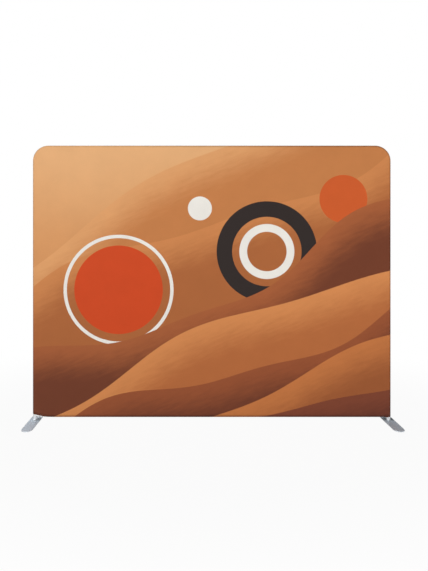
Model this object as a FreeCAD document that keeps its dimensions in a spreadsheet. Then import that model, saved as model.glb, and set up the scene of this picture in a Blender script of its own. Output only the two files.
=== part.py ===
import FreeCAD, Part
import math
import os
import re
from collections import namedtuple

import Sketcher
from FreeCAD import Vector

# Tubular display backdrop: a slip-together tube frame on two flat swivelling feet,
# with a stretch fabric cover that goes over it like a pillowcase and zips shut at the back.
# Millimetres. X runs to the right as seen from the front, Y to the back, Z up, and the
# floor is at zero, midway between the two feet.

SIZES = {
    # Whole object.
    "panel_width": 3000,
    "overall_height": 2308,
    "fabric_bottom": 31,
    # Frame tube and the thinner tube of the centre post.
    "tube_diameter": 32,
    "brace_diameter": 25,
    "tube_wall": 1.5,
    "bend_radius": 112,
    "corner_leg": 140,
    "upright_joint_height": 1140,
    "end_gap": 0.5,
    # Sleeves and stubs inside the slip joints.
    "sleeve_clearance": 0.2,
    "sleeve_wall": 2,
    "sleeve_length": 120,
    "stub_length": 60,
    "rivet_inset": 32,
    "rivet_diameter": 4.8,
    "rivet_head_diameter": 9.5,
    "rivet_head_height": 1.6,
    "rivet_bulge_diameter": 6.6,
    "rivet_bulge_height": 3,
    # Snap buttons and the springs behind them.
    "button_inset": 30,
    "button_diameter": 8,
    "button_clearance": 0.3,
    "button_protrusion": 3,
    "button_round": 2,
    "button_flange_diameter": 10.4,
    "button_flange_thickness": 1,
    "spring_width": 6,
    "spring_thickness": 0.6,
    "spring_reach": 16,
    "spring_tail": 5,
    "spring_foot": 10,
    "spring_clearance": 0.3,
    # Feet.
    "foot_length": 450,
    "foot_width": 90,
    "foot_thickness": 6,
    "foot_edge_round": 1.5,
    "pad_diameter": 22,
    "pad_thickness": 2.5,
    "pad_inset": 45,
    "pad_side_offset": 24,
    "washer_diameter": 36,
    "washer_thickness": 1.5,
    "spigot_flange_diameter": 36,
    "spigot_flange_thickness": 5,
    "spigot_base_thickness": 12,
    "spigot_length": 114,
    "spigot_button_inset": 75,
    "screw_diameter": 10,
    "screw_head_diameter": 20,
    "screw_length": 19,
    "screw_recess": 0.2,
    "screw_rim": 0.4,
    "socket_width": 6,
    "socket_depth": 3,
    "screw_hole_clearance": 0.25,
    "countersink_clearance": 0.6,
    # Fabric cover.
    "fabric_thickness": 0.8,
    "fabric_clearance": 0.3,
    "corner_notch": 40,
    "left_corner_lift": 26,
    "left_lift_run": 130,
    "right_corner_lift": 9,
    "right_lift_run": 70,
    "back_corner_lift": 5,
    "back_lift_run": 60,
    # Zip.
    "zip_height": 85,
    "zip_opening": 11,
    "zip_tape_width": 13,
    "zip_tape_thickness": 0.6,
    "zip_chain_width": 5,
    "zip_chain_thickness": 2.2,
    "zip_end_margin": 12,
    "zip_stop_length": 3,
    "zip_stop_width": 2.2,
    "zip_clearance": 0.3,
    "slider_length": 14,
    "slider_width": 9.6,
    "slider_plate": 1.3,
    "slider_rim_width": 0.9,
    "slider_tape_gap": 1.3,
    "slider_neck_start": 1.5,
    "slider_neck_length": 4.5,
    "slider_neck_width": 2.6,
    "lug_length": 6,
    "lug_width": 2.4,
    "lug_height": 4.4,
    "pull_rod_diameter": 1.8,
    "pull_rod_clearance": 0.3,
    "pull_rod_drop": 1.9,
    "pull_length": 26,
    "pull_width": 7.2,
    "pull_thickness": 1.8,
    "pull_fork_length": 5.2,
    "pull_fork_width": 3.4,
    "pull_hole_diameter": 3.2,
    "pull_corner_round": 2.4,
    # How far a cut runs past the face that it leaves by.
    "cut_overrun": 2,
}

# Sizes that follow from the ones above.
DERIVED = {
    "tube_radius": "tube_diameter / 2",
    "tube_bore": "tube_radius - tube_wall",
    "sleeve_radius": "tube_bore - sleeve_clearance",
    "sleeve_bore": "sleeve_radius - sleeve_wall",
    "brace_radius": "brace_diameter / 2",
    "brace_bore": "brace_radius - tube_wall",
    "brace_sleeve_radius": "brace_bore - sleeve_clearance",
    "brace_sleeve_bore": "brace_sleeve_radius - sleeve_wall",
    "fabric_inner": "tube_radius + fabric_clearance",
    "fabric_outer": "fabric_inner + fabric_thickness",
    "half_span": "panel_width / 2 - fabric_outer",
    "top_level": "overall_height - fabric_outer",
    "bottom_level": "fabric_bottom + fabric_outer",
    "plate_top": "pad_thickness + foot_thickness",
    "spigot_seat": "plate_top + washer_thickness",
    "tube_foot": "spigot_seat + spigot_flange_thickness",
    "bend_start": "top_level - bend_radius - corner_leg",
    "rail_start": "half_span - bend_radius - corner_leg",
    "rail_third": "rail_start / 3",
    "stub_shoulder": "tube_radius + end_gap",
    "bottom_end": "half_span - stub_shoulder",
    "bottom_third": "bottom_end / 3",
    "brace_start": "bottom_level + stub_shoulder",
    "brace_end": "top_level - stub_shoulder",
    "brace_joint": "(brace_start + brace_end) / 2",
    "button_radius": "button_diameter / 2",
    "button_hole": "button_radius + button_clearance",
    "flange_radius": "button_flange_diameter / 2",
    "rivet_radius": "rivet_diameter / 2",
    "screw_radius": "screw_diameter / 2",
    "screw_hole": "screw_radius + screw_hole_clearance",
    "screw_head_radius": "screw_head_diameter / 2",
    "countersink_radius": "screw_head_radius + countersink_clearance",
    "foot_end_radius": "foot_width / 2",
    "foot_straight": "foot_length / 2 - foot_end_radius",
    "roll_half": "half_span - corner_notch",
    "zip_half_opening": "zip_opening / 2",
    "zip_half_chain": "zip_chain_width / 2",
    "strip_top": "zip_height - zip_half_opening",
    "window_top": "zip_height + zip_half_opening",
    "zip_plane": "fabric_inner - zip_tape_thickness / 2",
    "slider_gap": "zip_chain_thickness / 2 + zip_clearance",
    "slider_half": "slider_length / 2",
    "slider_rest": "roll_half - zip_end_margin - zip_clearance - slider_half",
    "chain_left": "-roll_half + zip_end_margin",
    "chain_right": "slider_rest + slider_neck_start - zip_clearance",
    "pull_axis": "slider_gap + slider_plate + lug_height - pull_rod_drop",
}

# Directions in the plane of the frame.
RIGHT = Vector(1, 0, 0)
LEFT = Vector(-1, 0, 0)
UP = Vector(0, 0, 1)
DOWN = Vector(0, 0, -1)

# A gauge of tube with the sleeve that goes inside it: names of radii.
Gauge = namedtuple("Gauge", "radius bore sleeve_radius sleeve_bore")
FRAME = Gauge("tube_radius", "tube_bore", "sleeve_radius", "sleeve_bore")
BRACE = Gauge("brace_radius", "brace_bore", "brace_sleeve_radius", "brace_sleeve_bore")

# A slip joint: the end of the tube that slips on, the way that tube leads from there,
# the side that its snap button faces, and how far along the button sits.
Joint = namedtuple("Joint", "x z toward facing inset gauge")
JOINTS = {
    "left_foot": Joint("-half_span", "tube_foot", UP, RIGHT, "spigot_button_inset", FRAME),
    "left_upright": Joint("-half_span", "upright_joint_height", UP, RIGHT, "button_inset", FRAME),
    "left_bend": Joint("-half_span", "bend_start", UP, RIGHT, "button_inset", FRAME),
    "left_corner": Joint("-rail_start", "top_level", RIGHT, DOWN, "button_inset", FRAME),
    "top_left": Joint("-rail_third", "top_level", RIGHT, DOWN, "button_inset", FRAME),
    "top_right": Joint("rail_third", "top_level", LEFT, DOWN, "button_inset", FRAME),
    "right_corner": Joint("rail_start", "top_level", LEFT, DOWN, "button_inset", FRAME),
    "right_bend": Joint("half_span", "bend_start", UP, LEFT, "button_inset", FRAME),
    "right_upright": Joint("half_span", "upright_joint_height", UP, LEFT, "button_inset", FRAME),
    "right_foot": Joint("half_span", "tube_foot", UP, LEFT, "spigot_button_inset", FRAME),
    "left_rail": Joint("-bottom_end", "bottom_level", RIGHT, UP, "button_inset", FRAME),
    "bottom_left": Joint("-bottom_third", "bottom_level", RIGHT, UP, "button_inset", FRAME),
    "bottom_right": Joint("bottom_third", "bottom_level", LEFT, UP, "button_inset", FRAME),
    "right_rail": Joint("bottom_end", "bottom_level", LEFT, UP, "button_inset", FRAME),
    "centre_lower": Joint("0", "brace_start", UP, RIGHT, "button_inset", BRACE),
    "centre_middle": Joint("0", "brace_joint", UP, RIGHT, "button_inset", BRACE),
    "centre_upper": Joint("0", "brace_end", DOWN, RIGHT, "button_inset", BRACE),
}

# Joints made with a riveted sleeve, by the node that holds the sleeves.
SLEEVES = {
    "left_upright_sleeves": ("left_upright", "left_bend"),
    "right_upright_sleeves": ("right_upright", "right_bend"),
    "top_rail_sleeves": ("left_corner", "top_left", "top_right", "right_corner"),
    "bottom_rail_sleeves": ("bottom_left", "bottom_right"),
    "centre_post_sleeve": ("centre_middle",),
}
STUBS = {
    "left_rail_stub": "left_rail",
    "right_rail_stub": "right_rail",
    "centre_lower_stub": "centre_lower",
    "centre_upper_stub": "centre_upper",
}

# A hole in a tube wall: distance from the start of the tube, and radius.
BUTTON_START = ("button_inset", "button_hole")
SPIGOT_START = ("spigot_button_inset", "button_hole")
RIVET_START = ("rivet_inset", "rivet_radius")


def from_end(length, hole):
    """The same hole measured from the far end of a tube."""
    return (f"{length} - {hole[0]}", hole[1])


# A straight tube: where it starts, the way it leads, the side its holes face, its length and holes.
Tube = namedtuple("Tube", "x z toward facing length start end gauge")
LOWER = "(upright_joint_height - tube_foot)"
UPPER = "(bend_start - upright_joint_height)"
TOP = "(2 * rail_third)"
BOTTOM = "(2 * bottom_third)"
POST = "(brace_joint - brace_start)"
TUBES = {
    "left_lower_upright": Tube("-half_span", "tube_foot", UP, RIGHT, LOWER, SPIGOT_START, RIVET_START, FRAME),
    "left_upper_upright": Tube("-half_span", "upright_joint_height", UP, RIGHT, UPPER,
                               BUTTON_START, RIVET_START, FRAME),
    "right_lower_upright": Tube("half_span", "tube_foot", UP, LEFT, LOWER, SPIGOT_START, RIVET_START, FRAME),
    "right_upper_upright": Tube("half_span", "upright_joint_height", UP, LEFT, UPPER,
                                BUTTON_START, RIVET_START, FRAME),
    "top_rail_left": Tube("-rail_start", "top_level", RIGHT, DOWN, TOP, BUTTON_START, RIVET_START, FRAME),
    "top_rail_middle": Tube("-rail_third", "top_level", RIGHT, DOWN, TOP, BUTTON_START, BUTTON_START, FRAME),
    "top_rail_right": Tube("rail_third", "top_level", RIGHT, DOWN, TOP, RIVET_START, BUTTON_START, FRAME),
    "bottom_rail_left": Tube("-bottom_end", "bottom_level", RIGHT, UP, BOTTOM,
                             BUTTON_START, RIVET_START, FRAME),
    "bottom_rail_middle": Tube("-bottom_third", "bottom_level", RIGHT, UP, BOTTOM,
                               BUTTON_START, BUTTON_START, FRAME),
    "bottom_rail_right": Tube("bottom_third", "bottom_level", RIGHT, UP, BOTTOM,
                              RIVET_START, BUTTON_START, FRAME),
    "centre_lower_post": Tube("0", "brace_start", UP, RIGHT, POST, BUTTON_START, RIVET_START, BRACE),
    "centre_upper_post": Tube("0", "brace_joint", UP, RIGHT, POST, BUTTON_START, BUTTON_START, BRACE),
}

doc = FreeCAD.newDocument("backdrop")
sheet = doc.addObject("Spreadsheet::Sheet", "Sizes")
for row, (alias, number) in enumerate(SIZES.items(), start=1):
    sheet.set(f"A{row}", alias)
    sheet.set(f"B{row}", str(number))
    sheet.setAlias(f"B{row}", alias)
doc.recompute()

NAME = re.compile(r"[a-z_]{3,}")


def expr(text):
    """Spell a sum of size names out as an expression on the sheet."""

    def spell(match):
        name = match.group(0)
        if name in DERIVED:
            return f"({expr(DERIVED[name])})"
        if name in SIZES:
            return f"Sizes.{name}"
        return name

    return NAME.sub(spell, text)


def value(text):
    """Number that a sum of size names comes to."""
    return float(sheet.evalExpression(expr(text)))


def new_body(label):
    """Empty solid body with its own label."""
    body = doc.addObject("PartDesign::Body", label)
    body.Label = label
    return body


def new_sketch(body, plane, x="0", y="0", z="0"):
    """Empty sketch on one of the body's own planes, shifted in the plane's own axes."""
    sketch = body.newObject("Sketcher::SketchObject", f"{body.Name}_outline")
    support = [part for part in body.Origin.OriginFeatures if part.Role == plane]
    sketch.AttachmentSupport = [(support[0], "")]
    sketch.MapMode = "FlatFace"
    for axis, text in zip("xyz", (x, y, z)):
        if text != "0":
            sketch.setExpression(f"AttachmentOffset.Base.{axis}", expr(text))
    return sketch


def bind(sketch, constraint, text):
    """Add a sketch dimension that follows a sum of size names."""
    index = sketch.addConstraint(constraint)
    sketch.setExpression(f"Constraints[{index}]", expr(text))


def pin_x(sketch, geometry, vertex, text):
    """Hold a sketch point at a distance to the right of the origin."""
    if text == "0":
        sketch.addConstraint(Sketcher.Constraint("PointOnObject", geometry, vertex, -2))
    else:
        bind(sketch, Sketcher.Constraint("DistanceX", -1, 1, geometry, vertex, value(text)), text)


def pin_y(sketch, geometry, vertex, text):
    """Hold a sketch point at a distance above the origin."""
    if text == "0":
        sketch.addConstraint(Sketcher.Constraint("PointOnObject", geometry, vertex, -1))
    else:
        bind(sketch, Sketcher.Constraint("DistanceY", -1, 1, geometry, vertex, value(text)), text)


def add_circle(sketch, x, y, radius):
    """Circle whose centre and radius follow the sheet."""
    centre = Vector(value(x), value(y), 0)
    index = sketch.addGeometry(Part.Circle(centre, Vector(0, 0, 1), value(radius)))
    pin_x(sketch, index, 3, x)
    pin_y(sketch, index, 3, y)
    bind(sketch, Sketcher.Constraint("Radius", index, value(radius)), radius)


# A corner of an outline. Where centre is set, the stretch from it to the next corner is an
# arc about that centre: turn is 1 for anticlockwise and -1 for clockwise.
Corner = namedtuple("Corner", "x y centre turn", defaults=(None, 0))


def add_outline(sketch, corners, closed=True):
    """Chain of lines and arcs through corners that follow the sheet.

    Every corner is held at its place. An arc is held by its centre and its start, so the corner
    at its end is held along the arc only.
    """
    count = len(corners)
    stretches = []
    for index in range(count if closed else count - 1):
        corner = corners[index]
        following = corners[(index + 1) % count]
        start = Vector(value(corner.x), value(corner.y), 0)
        end = Vector(value(following.x), value(following.y), 0)
        if corner.centre is None:
            stretches.append((sketch.addGeometry(Part.LineSegment(start, end)), 1, 2))
            continue
        centre = Vector(value(corner.centre[0]), value(corner.centre[1]), 0)
        first, last = (start, end) if corner.turn > 0 else (end, start)
        angles = [math.atan2(point.y - centre.y, point.x - centre.x) for point in (first, last)]
        circle = Part.Circle(centre, Vector(0, 0, 1), (start - centre).Length)
        arc = sketch.addGeometry(Part.ArcOfCircle(circle, angles[0], angles[1]))
        stretches.append((arc, 1, 2) if corner.turn > 0 else (arc, 2, 1))
        pin_x(sketch, arc, 3, corner.centre[0])
        pin_y(sketch, arc, 3, corner.centre[1])
    for index in range(len(stretches) if closed else len(stretches) - 1):
        geometry, unused_start, end = stretches[index]
        after, start, unused_end = stretches[(index + 1) % len(stretches)]
        sketch.addConstraint(Sketcher.Constraint("Coincident", geometry, end, after, start))
    for index, corner in enumerate(corners):
        if index < len(stretches):
            geometry, vertex, unused_end = stretches[index]
        else:
            geometry, unused_start, vertex = stretches[-1]
        before = corners[index - 1] if closed or index > 0 else Corner("0", "0")
        if before.centre is None:
            pin_x(sketch, geometry, vertex, corner.x)
            pin_y(sketch, geometry, vertex, corner.y)
            continue
        across = abs(value(corner.x) - value(before.centre[0]))
        upward = abs(value(corner.y) - value(before.centre[1]))
        if across > upward:
            pin_y(sketch, geometry, vertex, corner.y)
        else:
            pin_x(sketch, geometry, vertex, corner.x)


def add_polygon(sketch, points):
    """Closed outline of straight lines."""
    add_outline(sketch, [Corner(x, y) for x, y in points])


def add_box(sketch, left, right, low, high):
    """Rectangle between two pairs of sums."""
    add_polygon(sketch, [(left, low), (right, low), (right, high), (left, high)])


def pad(body, sketch, length, symmetric=False, backward=False):
    """Push a sketch out into a solid."""
    feature = body.newObject("PartDesign::Pad", f"{body.Name}_pad")
    feature.Profile = sketch
    feature.setExpression("Length", expr(length))
    feature.SideType = "Symmetric" if symmetric else "One side"
    feature.Reversed = backward
    doc.recompute()


def cut(body, sketch, length, symmetric=False, forward=False):
    """Cut a sketch into a solid, against the way the sketch faces unless forward is set."""
    before = body.Shape.Volume
    feature = body.newObject("PartDesign::Pocket", f"{body.Name}_cut")
    feature.Profile = sketch
    feature.setExpression("Length", expr(length))
    feature.SideType = "Symmetric" if symmetric else "One side"
    feature.Reversed = forward
    doc.recompute()
    assert body.Shape.Volume < before, body.Label


def revolve(body, points):
    """Turn an outline of (radius, height) points about the body's own Z axis."""
    sketch = new_sketch(body, "XZ_Plane")
    add_polygon(sketch, points)
    feature = body.newObject("PartDesign::Revolution", f"{body.Name}_turned")
    feature.Profile = sketch
    feature.ReferenceAxis = (sketch, ["V_Axis"])
    doc.recompute()


def sweep(body, profile, path, edges):
    """Carry a profile along the first edges of a path sketch."""
    feature = body.newObject("PartDesign::AdditivePipe", f"{body.Name}_swept")
    feature.Profile = profile
    feature.Spine = (path, [f"Edge{number}" for number in range(1, edges + 1)])
    doc.recompute()


def round_edges(body, radius, chosen):
    """Fillet the edges of a body that a test picks."""
    tip = body.Tip
    names = [f"Edge{number}" for number, edge in enumerate(tip.Shape.Edges, start=1) if chosen(edge)]
    feature = body.newObject("PartDesign::Fillet", f"{body.Name}_rounded")
    feature.Base = (tip, names)
    feature.setExpression("Radius", expr(radius))
    doc.recompute()


def place(body, x="0", y="0", z="0", toward=UP, facing=RIGHT):
    """Put a body at a point, with its own Z turned toward one way and its own X facing another."""
    turn = FreeCAD.Rotation(facing, toward.cross(facing), toward, "ZXY")
    body.Placement = FreeCAD.Placement(Vector(0, 0, 0), turn)
    for axis, text in zip("xyz", (x, y, z)):
        if text != "0":
            body.setExpression(f"Placement.Base.{axis}", expr(text))


def stepped(x, z, toward, distance):
    """Point in the frame's plane, moved along a direction."""
    moved = []
    for start, share in ((x, toward.x), (z, toward.z)):
        if share > 0:
            moved.append(f"{start} + {distance}")
        elif share < 0:
            moved.append(f"{start} - {distance}")
        else:
            moved.append(start)
    return moved


def group(label, members):
    """Several like solids kept as one part."""
    compound = doc.addObject("Part::Compound", label)
    compound.Label = label
    compound.Links = members
    doc.recompute()
    return compound


def wall_holes(body, holes, radius):
    """Round holes through the wall that faces the body's own X, from the middle outward."""
    sketch = new_sketch(body, "YZ_Plane")
    for along, hole_radius in holes:
        add_circle(sketch, "0", along, hole_radius)
    cut(body, sketch, f"{radius} + cut_overrun", forward=True)


def straight_tube(label, tube):
    """Length of frame tube with a button hole or a rivet hole near each end."""
    body = new_body(label)
    sketch = new_sketch(body, "XY_Plane")
    add_circle(sketch, "0", "0", tube.gauge.radius)
    add_circle(sketch, "0", "0", tube.gauge.bore)
    pad(body, sketch, tube.length)
    wall_holes(body, [tube.start, from_end(tube.length, tube.end)], tube.gauge.radius)
    place(body, tube.x, "0", tube.z, tube.toward, tube.facing)
    return body


def corner_bend(label, side):
    """Top corner: tube bent through a right angle, with a straight leg at each end.

    The body lies in its own XZ plane with the bend's centre at its origin. Its upright leg has
    the button hole and its level leg the rivet hole, both on the inside of the bend.
    """
    body = new_body(label)
    outward = "-bend_radius" if side is LEFT else "bend_radius"
    level_end = "corner_leg" if side is LEFT else "-corner_leg"
    path = new_sketch(body, "XZ_Plane")
    add_outline(path, [
        Corner(outward, "-corner_leg"),
        Corner(outward, "0", ("0", "0"), -1 if side is LEFT else 1),
        Corner("0", "bend_radius"),
        Corner(level_end, "bend_radius"),
    ], closed=False)
    section = new_sketch(body, "XY_Plane", outward, "0", "-corner_leg")
    add_circle(section, "0", "0", FRAME.radius)
    add_circle(section, "0", "0", FRAME.bore)
    sweep(body, section, path, 3)
    upright_hole = new_sketch(body, "YZ_Plane", "0", "0", outward)
    add_circle(upright_hole, "0", "-corner_leg + button_inset", "button_hole")
    cut(body, upright_hole, "tube_radius + cut_overrun", forward=side is LEFT)
    level_hole = new_sketch(body, "XY_Plane", "0", "0", "bend_radius")
    inset = f"{level_end} - rivet_inset" if side is LEFT else f"{level_end} + rivet_inset"
    add_circle(level_hole, inset, "0", "rivet_radius")
    cut(body, level_hole, "tube_radius + cut_overrun")
    centre = "half_span - bend_radius" if side is RIGHT else "-half_span + bend_radius"
    place(body, centre, "0", "top_level - bend_radius")
    return body


def joining_sleeve(label, joint):
    """Sleeve inside a slip joint, riveted in the fixed tube and holding the button in the other."""
    body = new_body(label)
    sketch = new_sketch(body, "XY_Plane")
    add_circle(sketch, "0", "0", joint.gauge.sleeve_radius)
    add_circle(sketch, "0", "0", joint.gauge.sleeve_bore)
    pad(body, sketch, "sleeve_length", symmetric=True)
    holes = [(joint.inset, "button_hole"), ("-rivet_inset", "rivet_radius")]
    wall_holes(body, holes, joint.gauge.radius)
    place(body, joint.x, "0", joint.z, joint.toward, joint.facing)
    return body


def rail_stub(label, joint):
    """Stub welded square onto a frame tube: its root is coped to fit that tube's round."""
    body = new_body(label)
    sketch = new_sketch(body, "XY_Plane")
    add_circle(sketch, "0", "0", joint.gauge.sleeve_radius)
    add_circle(sketch, "0", "0", joint.gauge.sleeve_bore)
    pad(body, sketch, "stub_shoulder + stub_length")
    cope = new_sketch(body, "YZ_Plane")
    add_circle(cope, "0", "0", "tube_radius")
    cut(body, cope, "tube_diameter + cut_overrun", symmetric=True)
    wall_holes(body, [(f"stub_shoulder + {joint.inset}", "button_hole")], joint.gauge.radius)
    back = stepped(joint.x, joint.z, joint.toward * -1, "stub_shoulder")
    place(body, back[0], "0", back[1], joint.toward, joint.facing)
    return body


def blind_rivet(label, joint):
    """Blind rivet that holds a sleeve in the fixed tube of a joint."""
    body = new_body(label)
    seat = f"{joint.gauge.sleeve_bore} - spring_clearance - rivet_bulge_diameter / 8"
    crown = f"{joint.gauge.radius} + rivet_head_height"
    revolve(body, [
        ("0", f"{seat} - rivet_bulge_height"),
        ("rivet_bulge_diameter / 2", f"{seat} - rivet_bulge_height"),
        ("rivet_bulge_diameter / 2", seat),
        ("rivet_radius", seat),
        ("rivet_radius", joint.gauge.radius),
        ("rivet_head_diameter / 2", joint.gauge.radius),
        ("rivet_head_diameter / 2 - rivet_head_height", crown),
        ("0", crown),
    ])
    spot = stepped(joint.x, joint.z, joint.toward * -1, "rivet_inset")
    place(body, spot[0], "0", spot[1], joint.facing, joint.toward)
    return body


def flange_top(gauge):
    """Level of a button's flange, which bears on the inside of its sleeve."""
    return f"(sqrt({gauge.sleeve_bore} ^ 2 - flange_radius ^ 2) - button_clearance)"


def snap_button(label, joint):
    """Spring button: a round-topped pin with a flange that keeps it in its sleeve."""
    body = new_body(label)
    top = f"{joint.gauge.radius} + button_protrusion"
    ledge = flange_top(joint.gauge)
    revolve(body, [
        ("0", f"{ledge} - button_flange_thickness"),
        ("flange_radius", f"{ledge} - button_flange_thickness"),
        ("flange_radius", ledge),
        ("button_radius", ledge),
        ("button_radius", top),
        ("0", top),
    ])
    crown = value(top)
    fine = value("button_clearance") / 100
    round_edges(body, "button_round", lambda edge: abs(edge.BoundBox.ZMin - crown) < fine)
    spot = stepped(joint.x, joint.z, joint.toward, joint.inset)
    place(body, spot[0], "0", spot[1], joint.facing, joint.toward)
    return body


def button_spring(label, joint):
    """U-shaped strip spring: one arm under the button's flange, the other on the far wall."""
    body = new_body(label)
    upper = f"({flange_top(joint.gauge)} - button_flange_thickness)"
    lower = f"(sqrt({joint.gauge.sleeve_bore} ^ 2 - (spring_width / 2) ^ 2) - spring_clearance)"
    middle = f"(({upper} - {lower}) / 2)"
    nose = (middle, "-spring_reach")
    sketch = new_sketch(body, "XZ_Plane")
    add_outline(sketch, [
        Corner(upper, "spring_tail"),
        Corner(upper, "-spring_reach", nose, -1),
        Corner(f"-{lower}", "-spring_reach"),
        Corner(f"-{lower}", "spring_foot"),
        Corner(f"-{lower} + spring_thickness", "spring_foot"),
        Corner(f"-{lower} + spring_thickness", "-spring_reach", nose, 1),
        Corner(f"{upper} - spring_thickness", "-spring_reach"),
        Corner(f"{upper} - spring_thickness", "spring_tail"),
    ])
    pad(body, sketch, "spring_width", symmetric=True)
    spot = stepped(joint.x, joint.z, joint.toward, joint.inset)
    place(body, spot[0], "0", spot[1], joint.toward, joint.facing)
    return body


def foot_plate(label, side):
    """Flat steel foot with full-round ends, countersunk from below at its middle."""
    body = new_body(label)
    outline = new_sketch(body, "XY_Plane")
    add_outline(outline, [
        Corner("foot_end_radius", "-foot_straight"),
        Corner("foot_end_radius", "foot_straight", ("0", "foot_straight"), 1),
        Corner("-foot_end_radius", "foot_straight"),
        Corner("-foot_end_radius", "-foot_straight", ("0", "-foot_straight"), 1),
    ])
    pad(body, outline, "foot_thickness")
    high = value("foot_thickness")
    fine = value("button_clearance") / 100
    round_edges(body, "foot_edge_round", lambda edge: abs(edge.BoundBox.ZMin - high) < fine)
    profile = new_sketch(body, "XZ_Plane")
    add_polygon(profile, [
        ("0", "-cut_overrun"),
        ("countersink_radius", "-cut_overrun"),
        ("countersink_radius", "0"),
        ("screw_hole", "countersink_radius - screw_hole"),
        ("screw_hole", "foot_thickness + cut_overrun"),
        ("0", "foot_thickness + cut_overrun"),
    ])
    before = body.Shape.Volume
    hole = body.newObject("PartDesign::Groove", f"{body.Name}_countersink")
    hole.Profile = profile
    hole.ReferenceAxis = (profile, ["V_Axis"])
    doc.recompute()
    assert body.Shape.Volume < before, label
    place(body, "-half_span" if side is LEFT else "half_span", "0", "pad_thickness")
    return body


def foot_pads(label, side):
    """Four round rubber pads under a foot plate."""
    body = new_body(label)
    sketch = new_sketch(body, "XY_Plane")
    along = "foot_length / 2 - pad_inset"
    for across in ("pad_side_offset", "-pad_side_offset"):
        for end in (along, f"-({along})"):
            add_circle(sketch, across, end, "pad_diameter / 2")
    pad(body, sketch, "pad_thickness")
    place(body, "-half_span" if side is LEFT else "half_span")
    return body


def swivel_washer(label, side):
    """Nylon washer that the foot turns under."""
    body = new_body(label)
    sketch = new_sketch(body, "XY_Plane")
    add_circle(sketch, "0", "0", "washer_diameter / 2")
    add_circle(sketch, "0", "0", "screw_hole")
    pad(body, sketch, "washer_thickness")
    place(body, "-half_span" if side is LEFT else "half_span", "0", "plate_top")
    return body


def foot_spigot(label, side):
    """Flanged spigot that stands on the foot and goes up inside the upright."""
    body = new_body(label)
    revolve(body, [
        ("screw_radius", "0"),
        ("spigot_flange_diameter / 2", "0"),
        ("spigot_flange_diameter / 2", "spigot_flange_thickness"),
        ("sleeve_radius", "spigot_flange_thickness"),
        ("sleeve_radius", "spigot_length"),
        ("sleeve_bore", "spigot_length"),
        ("sleeve_bore", "spigot_base_thickness"),
        ("screw_radius", "spigot_base_thickness"),
    ])
    wall_holes(body, [("spigot_flange_thickness + spigot_button_inset", "button_hole")], "tube_radius")
    inward = RIGHT if side is LEFT else LEFT
    place(body, "-half_span" if side is LEFT else "half_span", "0", "spigot_seat", UP, inward)
    return body


def foot_screw(label, side):
    """Countersunk socket screw, up through the foot plate into the spigot."""
    body = new_body(label)
    revolve(body, [
        ("0", "0"),
        ("screw_head_radius", "0"),
        ("screw_head_radius", "screw_rim"),
        ("screw_radius", "screw_head_radius - screw_radius + screw_rim"),
        ("screw_radius", "screw_length"),
        ("0", "screw_length"),
    ])
    socket = new_sketch(body, "XY_Plane")
    across_corners = "socket_width / sqrt(3)"
    corner_x = ["1", "1 / 2", "-1 / 2", "-1", "-1 / 2", "1 / 2"]
    corner_y = ["0", "1 / 2", "1 / 2", "0", "-1 / 2", "-1 / 2"]
    add_polygon(socket, [
        (f"{across_corners} * {x}", "0" if y == "0" else f"socket_width * {y}")
        for x, y in zip(corner_x, corner_y)
    ])
    cut(body, socket, "socket_depth", forward=True)
    place(body, "-half_span" if side is LEFT else "half_span", "0", "pad_thickness + screw_recess")
    return body


# The edge of the cover, up one side, round the two top corners and down the other side.
def cover_edge():
    """Corners of the cover's edge along the middle of the tube, from low left to low right."""
    bend_level = "top_level - bend_radius"
    bend_side = "half_span - bend_radius"
    return [
        Corner("-half_span", "fabric_bottom"),
        Corner("-half_span", bend_level, (f"-({bend_side})", bend_level), -1),
        Corner(f"-({bend_side})", "top_level"),
        Corner(bend_side, "top_level", (bend_side, bend_level), -1),
        Corner("half_span", bend_level),
        Corner("half_span", "fabric_bottom"),
    ]


def edge_roll(body, front):
    """Quarter turn of fabric from the flat of the cover round the tube to its side seam."""
    path = new_sketch(body, "XZ_Plane")
    add_outline(path, cover_edge(), closed=False)
    section = new_sketch(body, "XY_Plane", "-half_span", "0", "fabric_bottom")
    inner_y = "-fabric_inner" if front else "fabric_inner"
    outer_y = "-fabric_outer" if front else "fabric_outer"
    turn = 1 if front else -1
    add_outline(section, [
        Corner("-fabric_outer", "0", ("0", "0"), turn),
        Corner("0", outer_y),
        Corner("0", inner_y, ("0", "0"), -turn),
        Corner("-fabric_inner", "0"),
    ])
    sweep(body, section, path, 5)


def lift_corners(body, left, right):
    """Trim the two bottom corners of a panel, which ride up: left and right are (lift, run)."""
    sketch = new_sketch(body, "XZ_Plane")
    edge = "(panel_width / 2)"
    clear = "(fabric_bottom - cut_overrun)"
    for side, (lift, run) in (("-1", left), ("1", right)):
        slope = f"({lift} / {run})"
        add_polygon(sketch, [
            (f"{side} * ({edge} + cut_overrun)", clear),
            (f"{side} * ({edge} - {run} + cut_overrun / {slope})", clear),
            (f"{side} * ({edge} + cut_overrun)", f"fabric_bottom + {lift} + cut_overrun * {slope}"),
        ])
    cut(body, sketch, "2 * fabric_outer + cut_overrun", symmetric=True)


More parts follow.
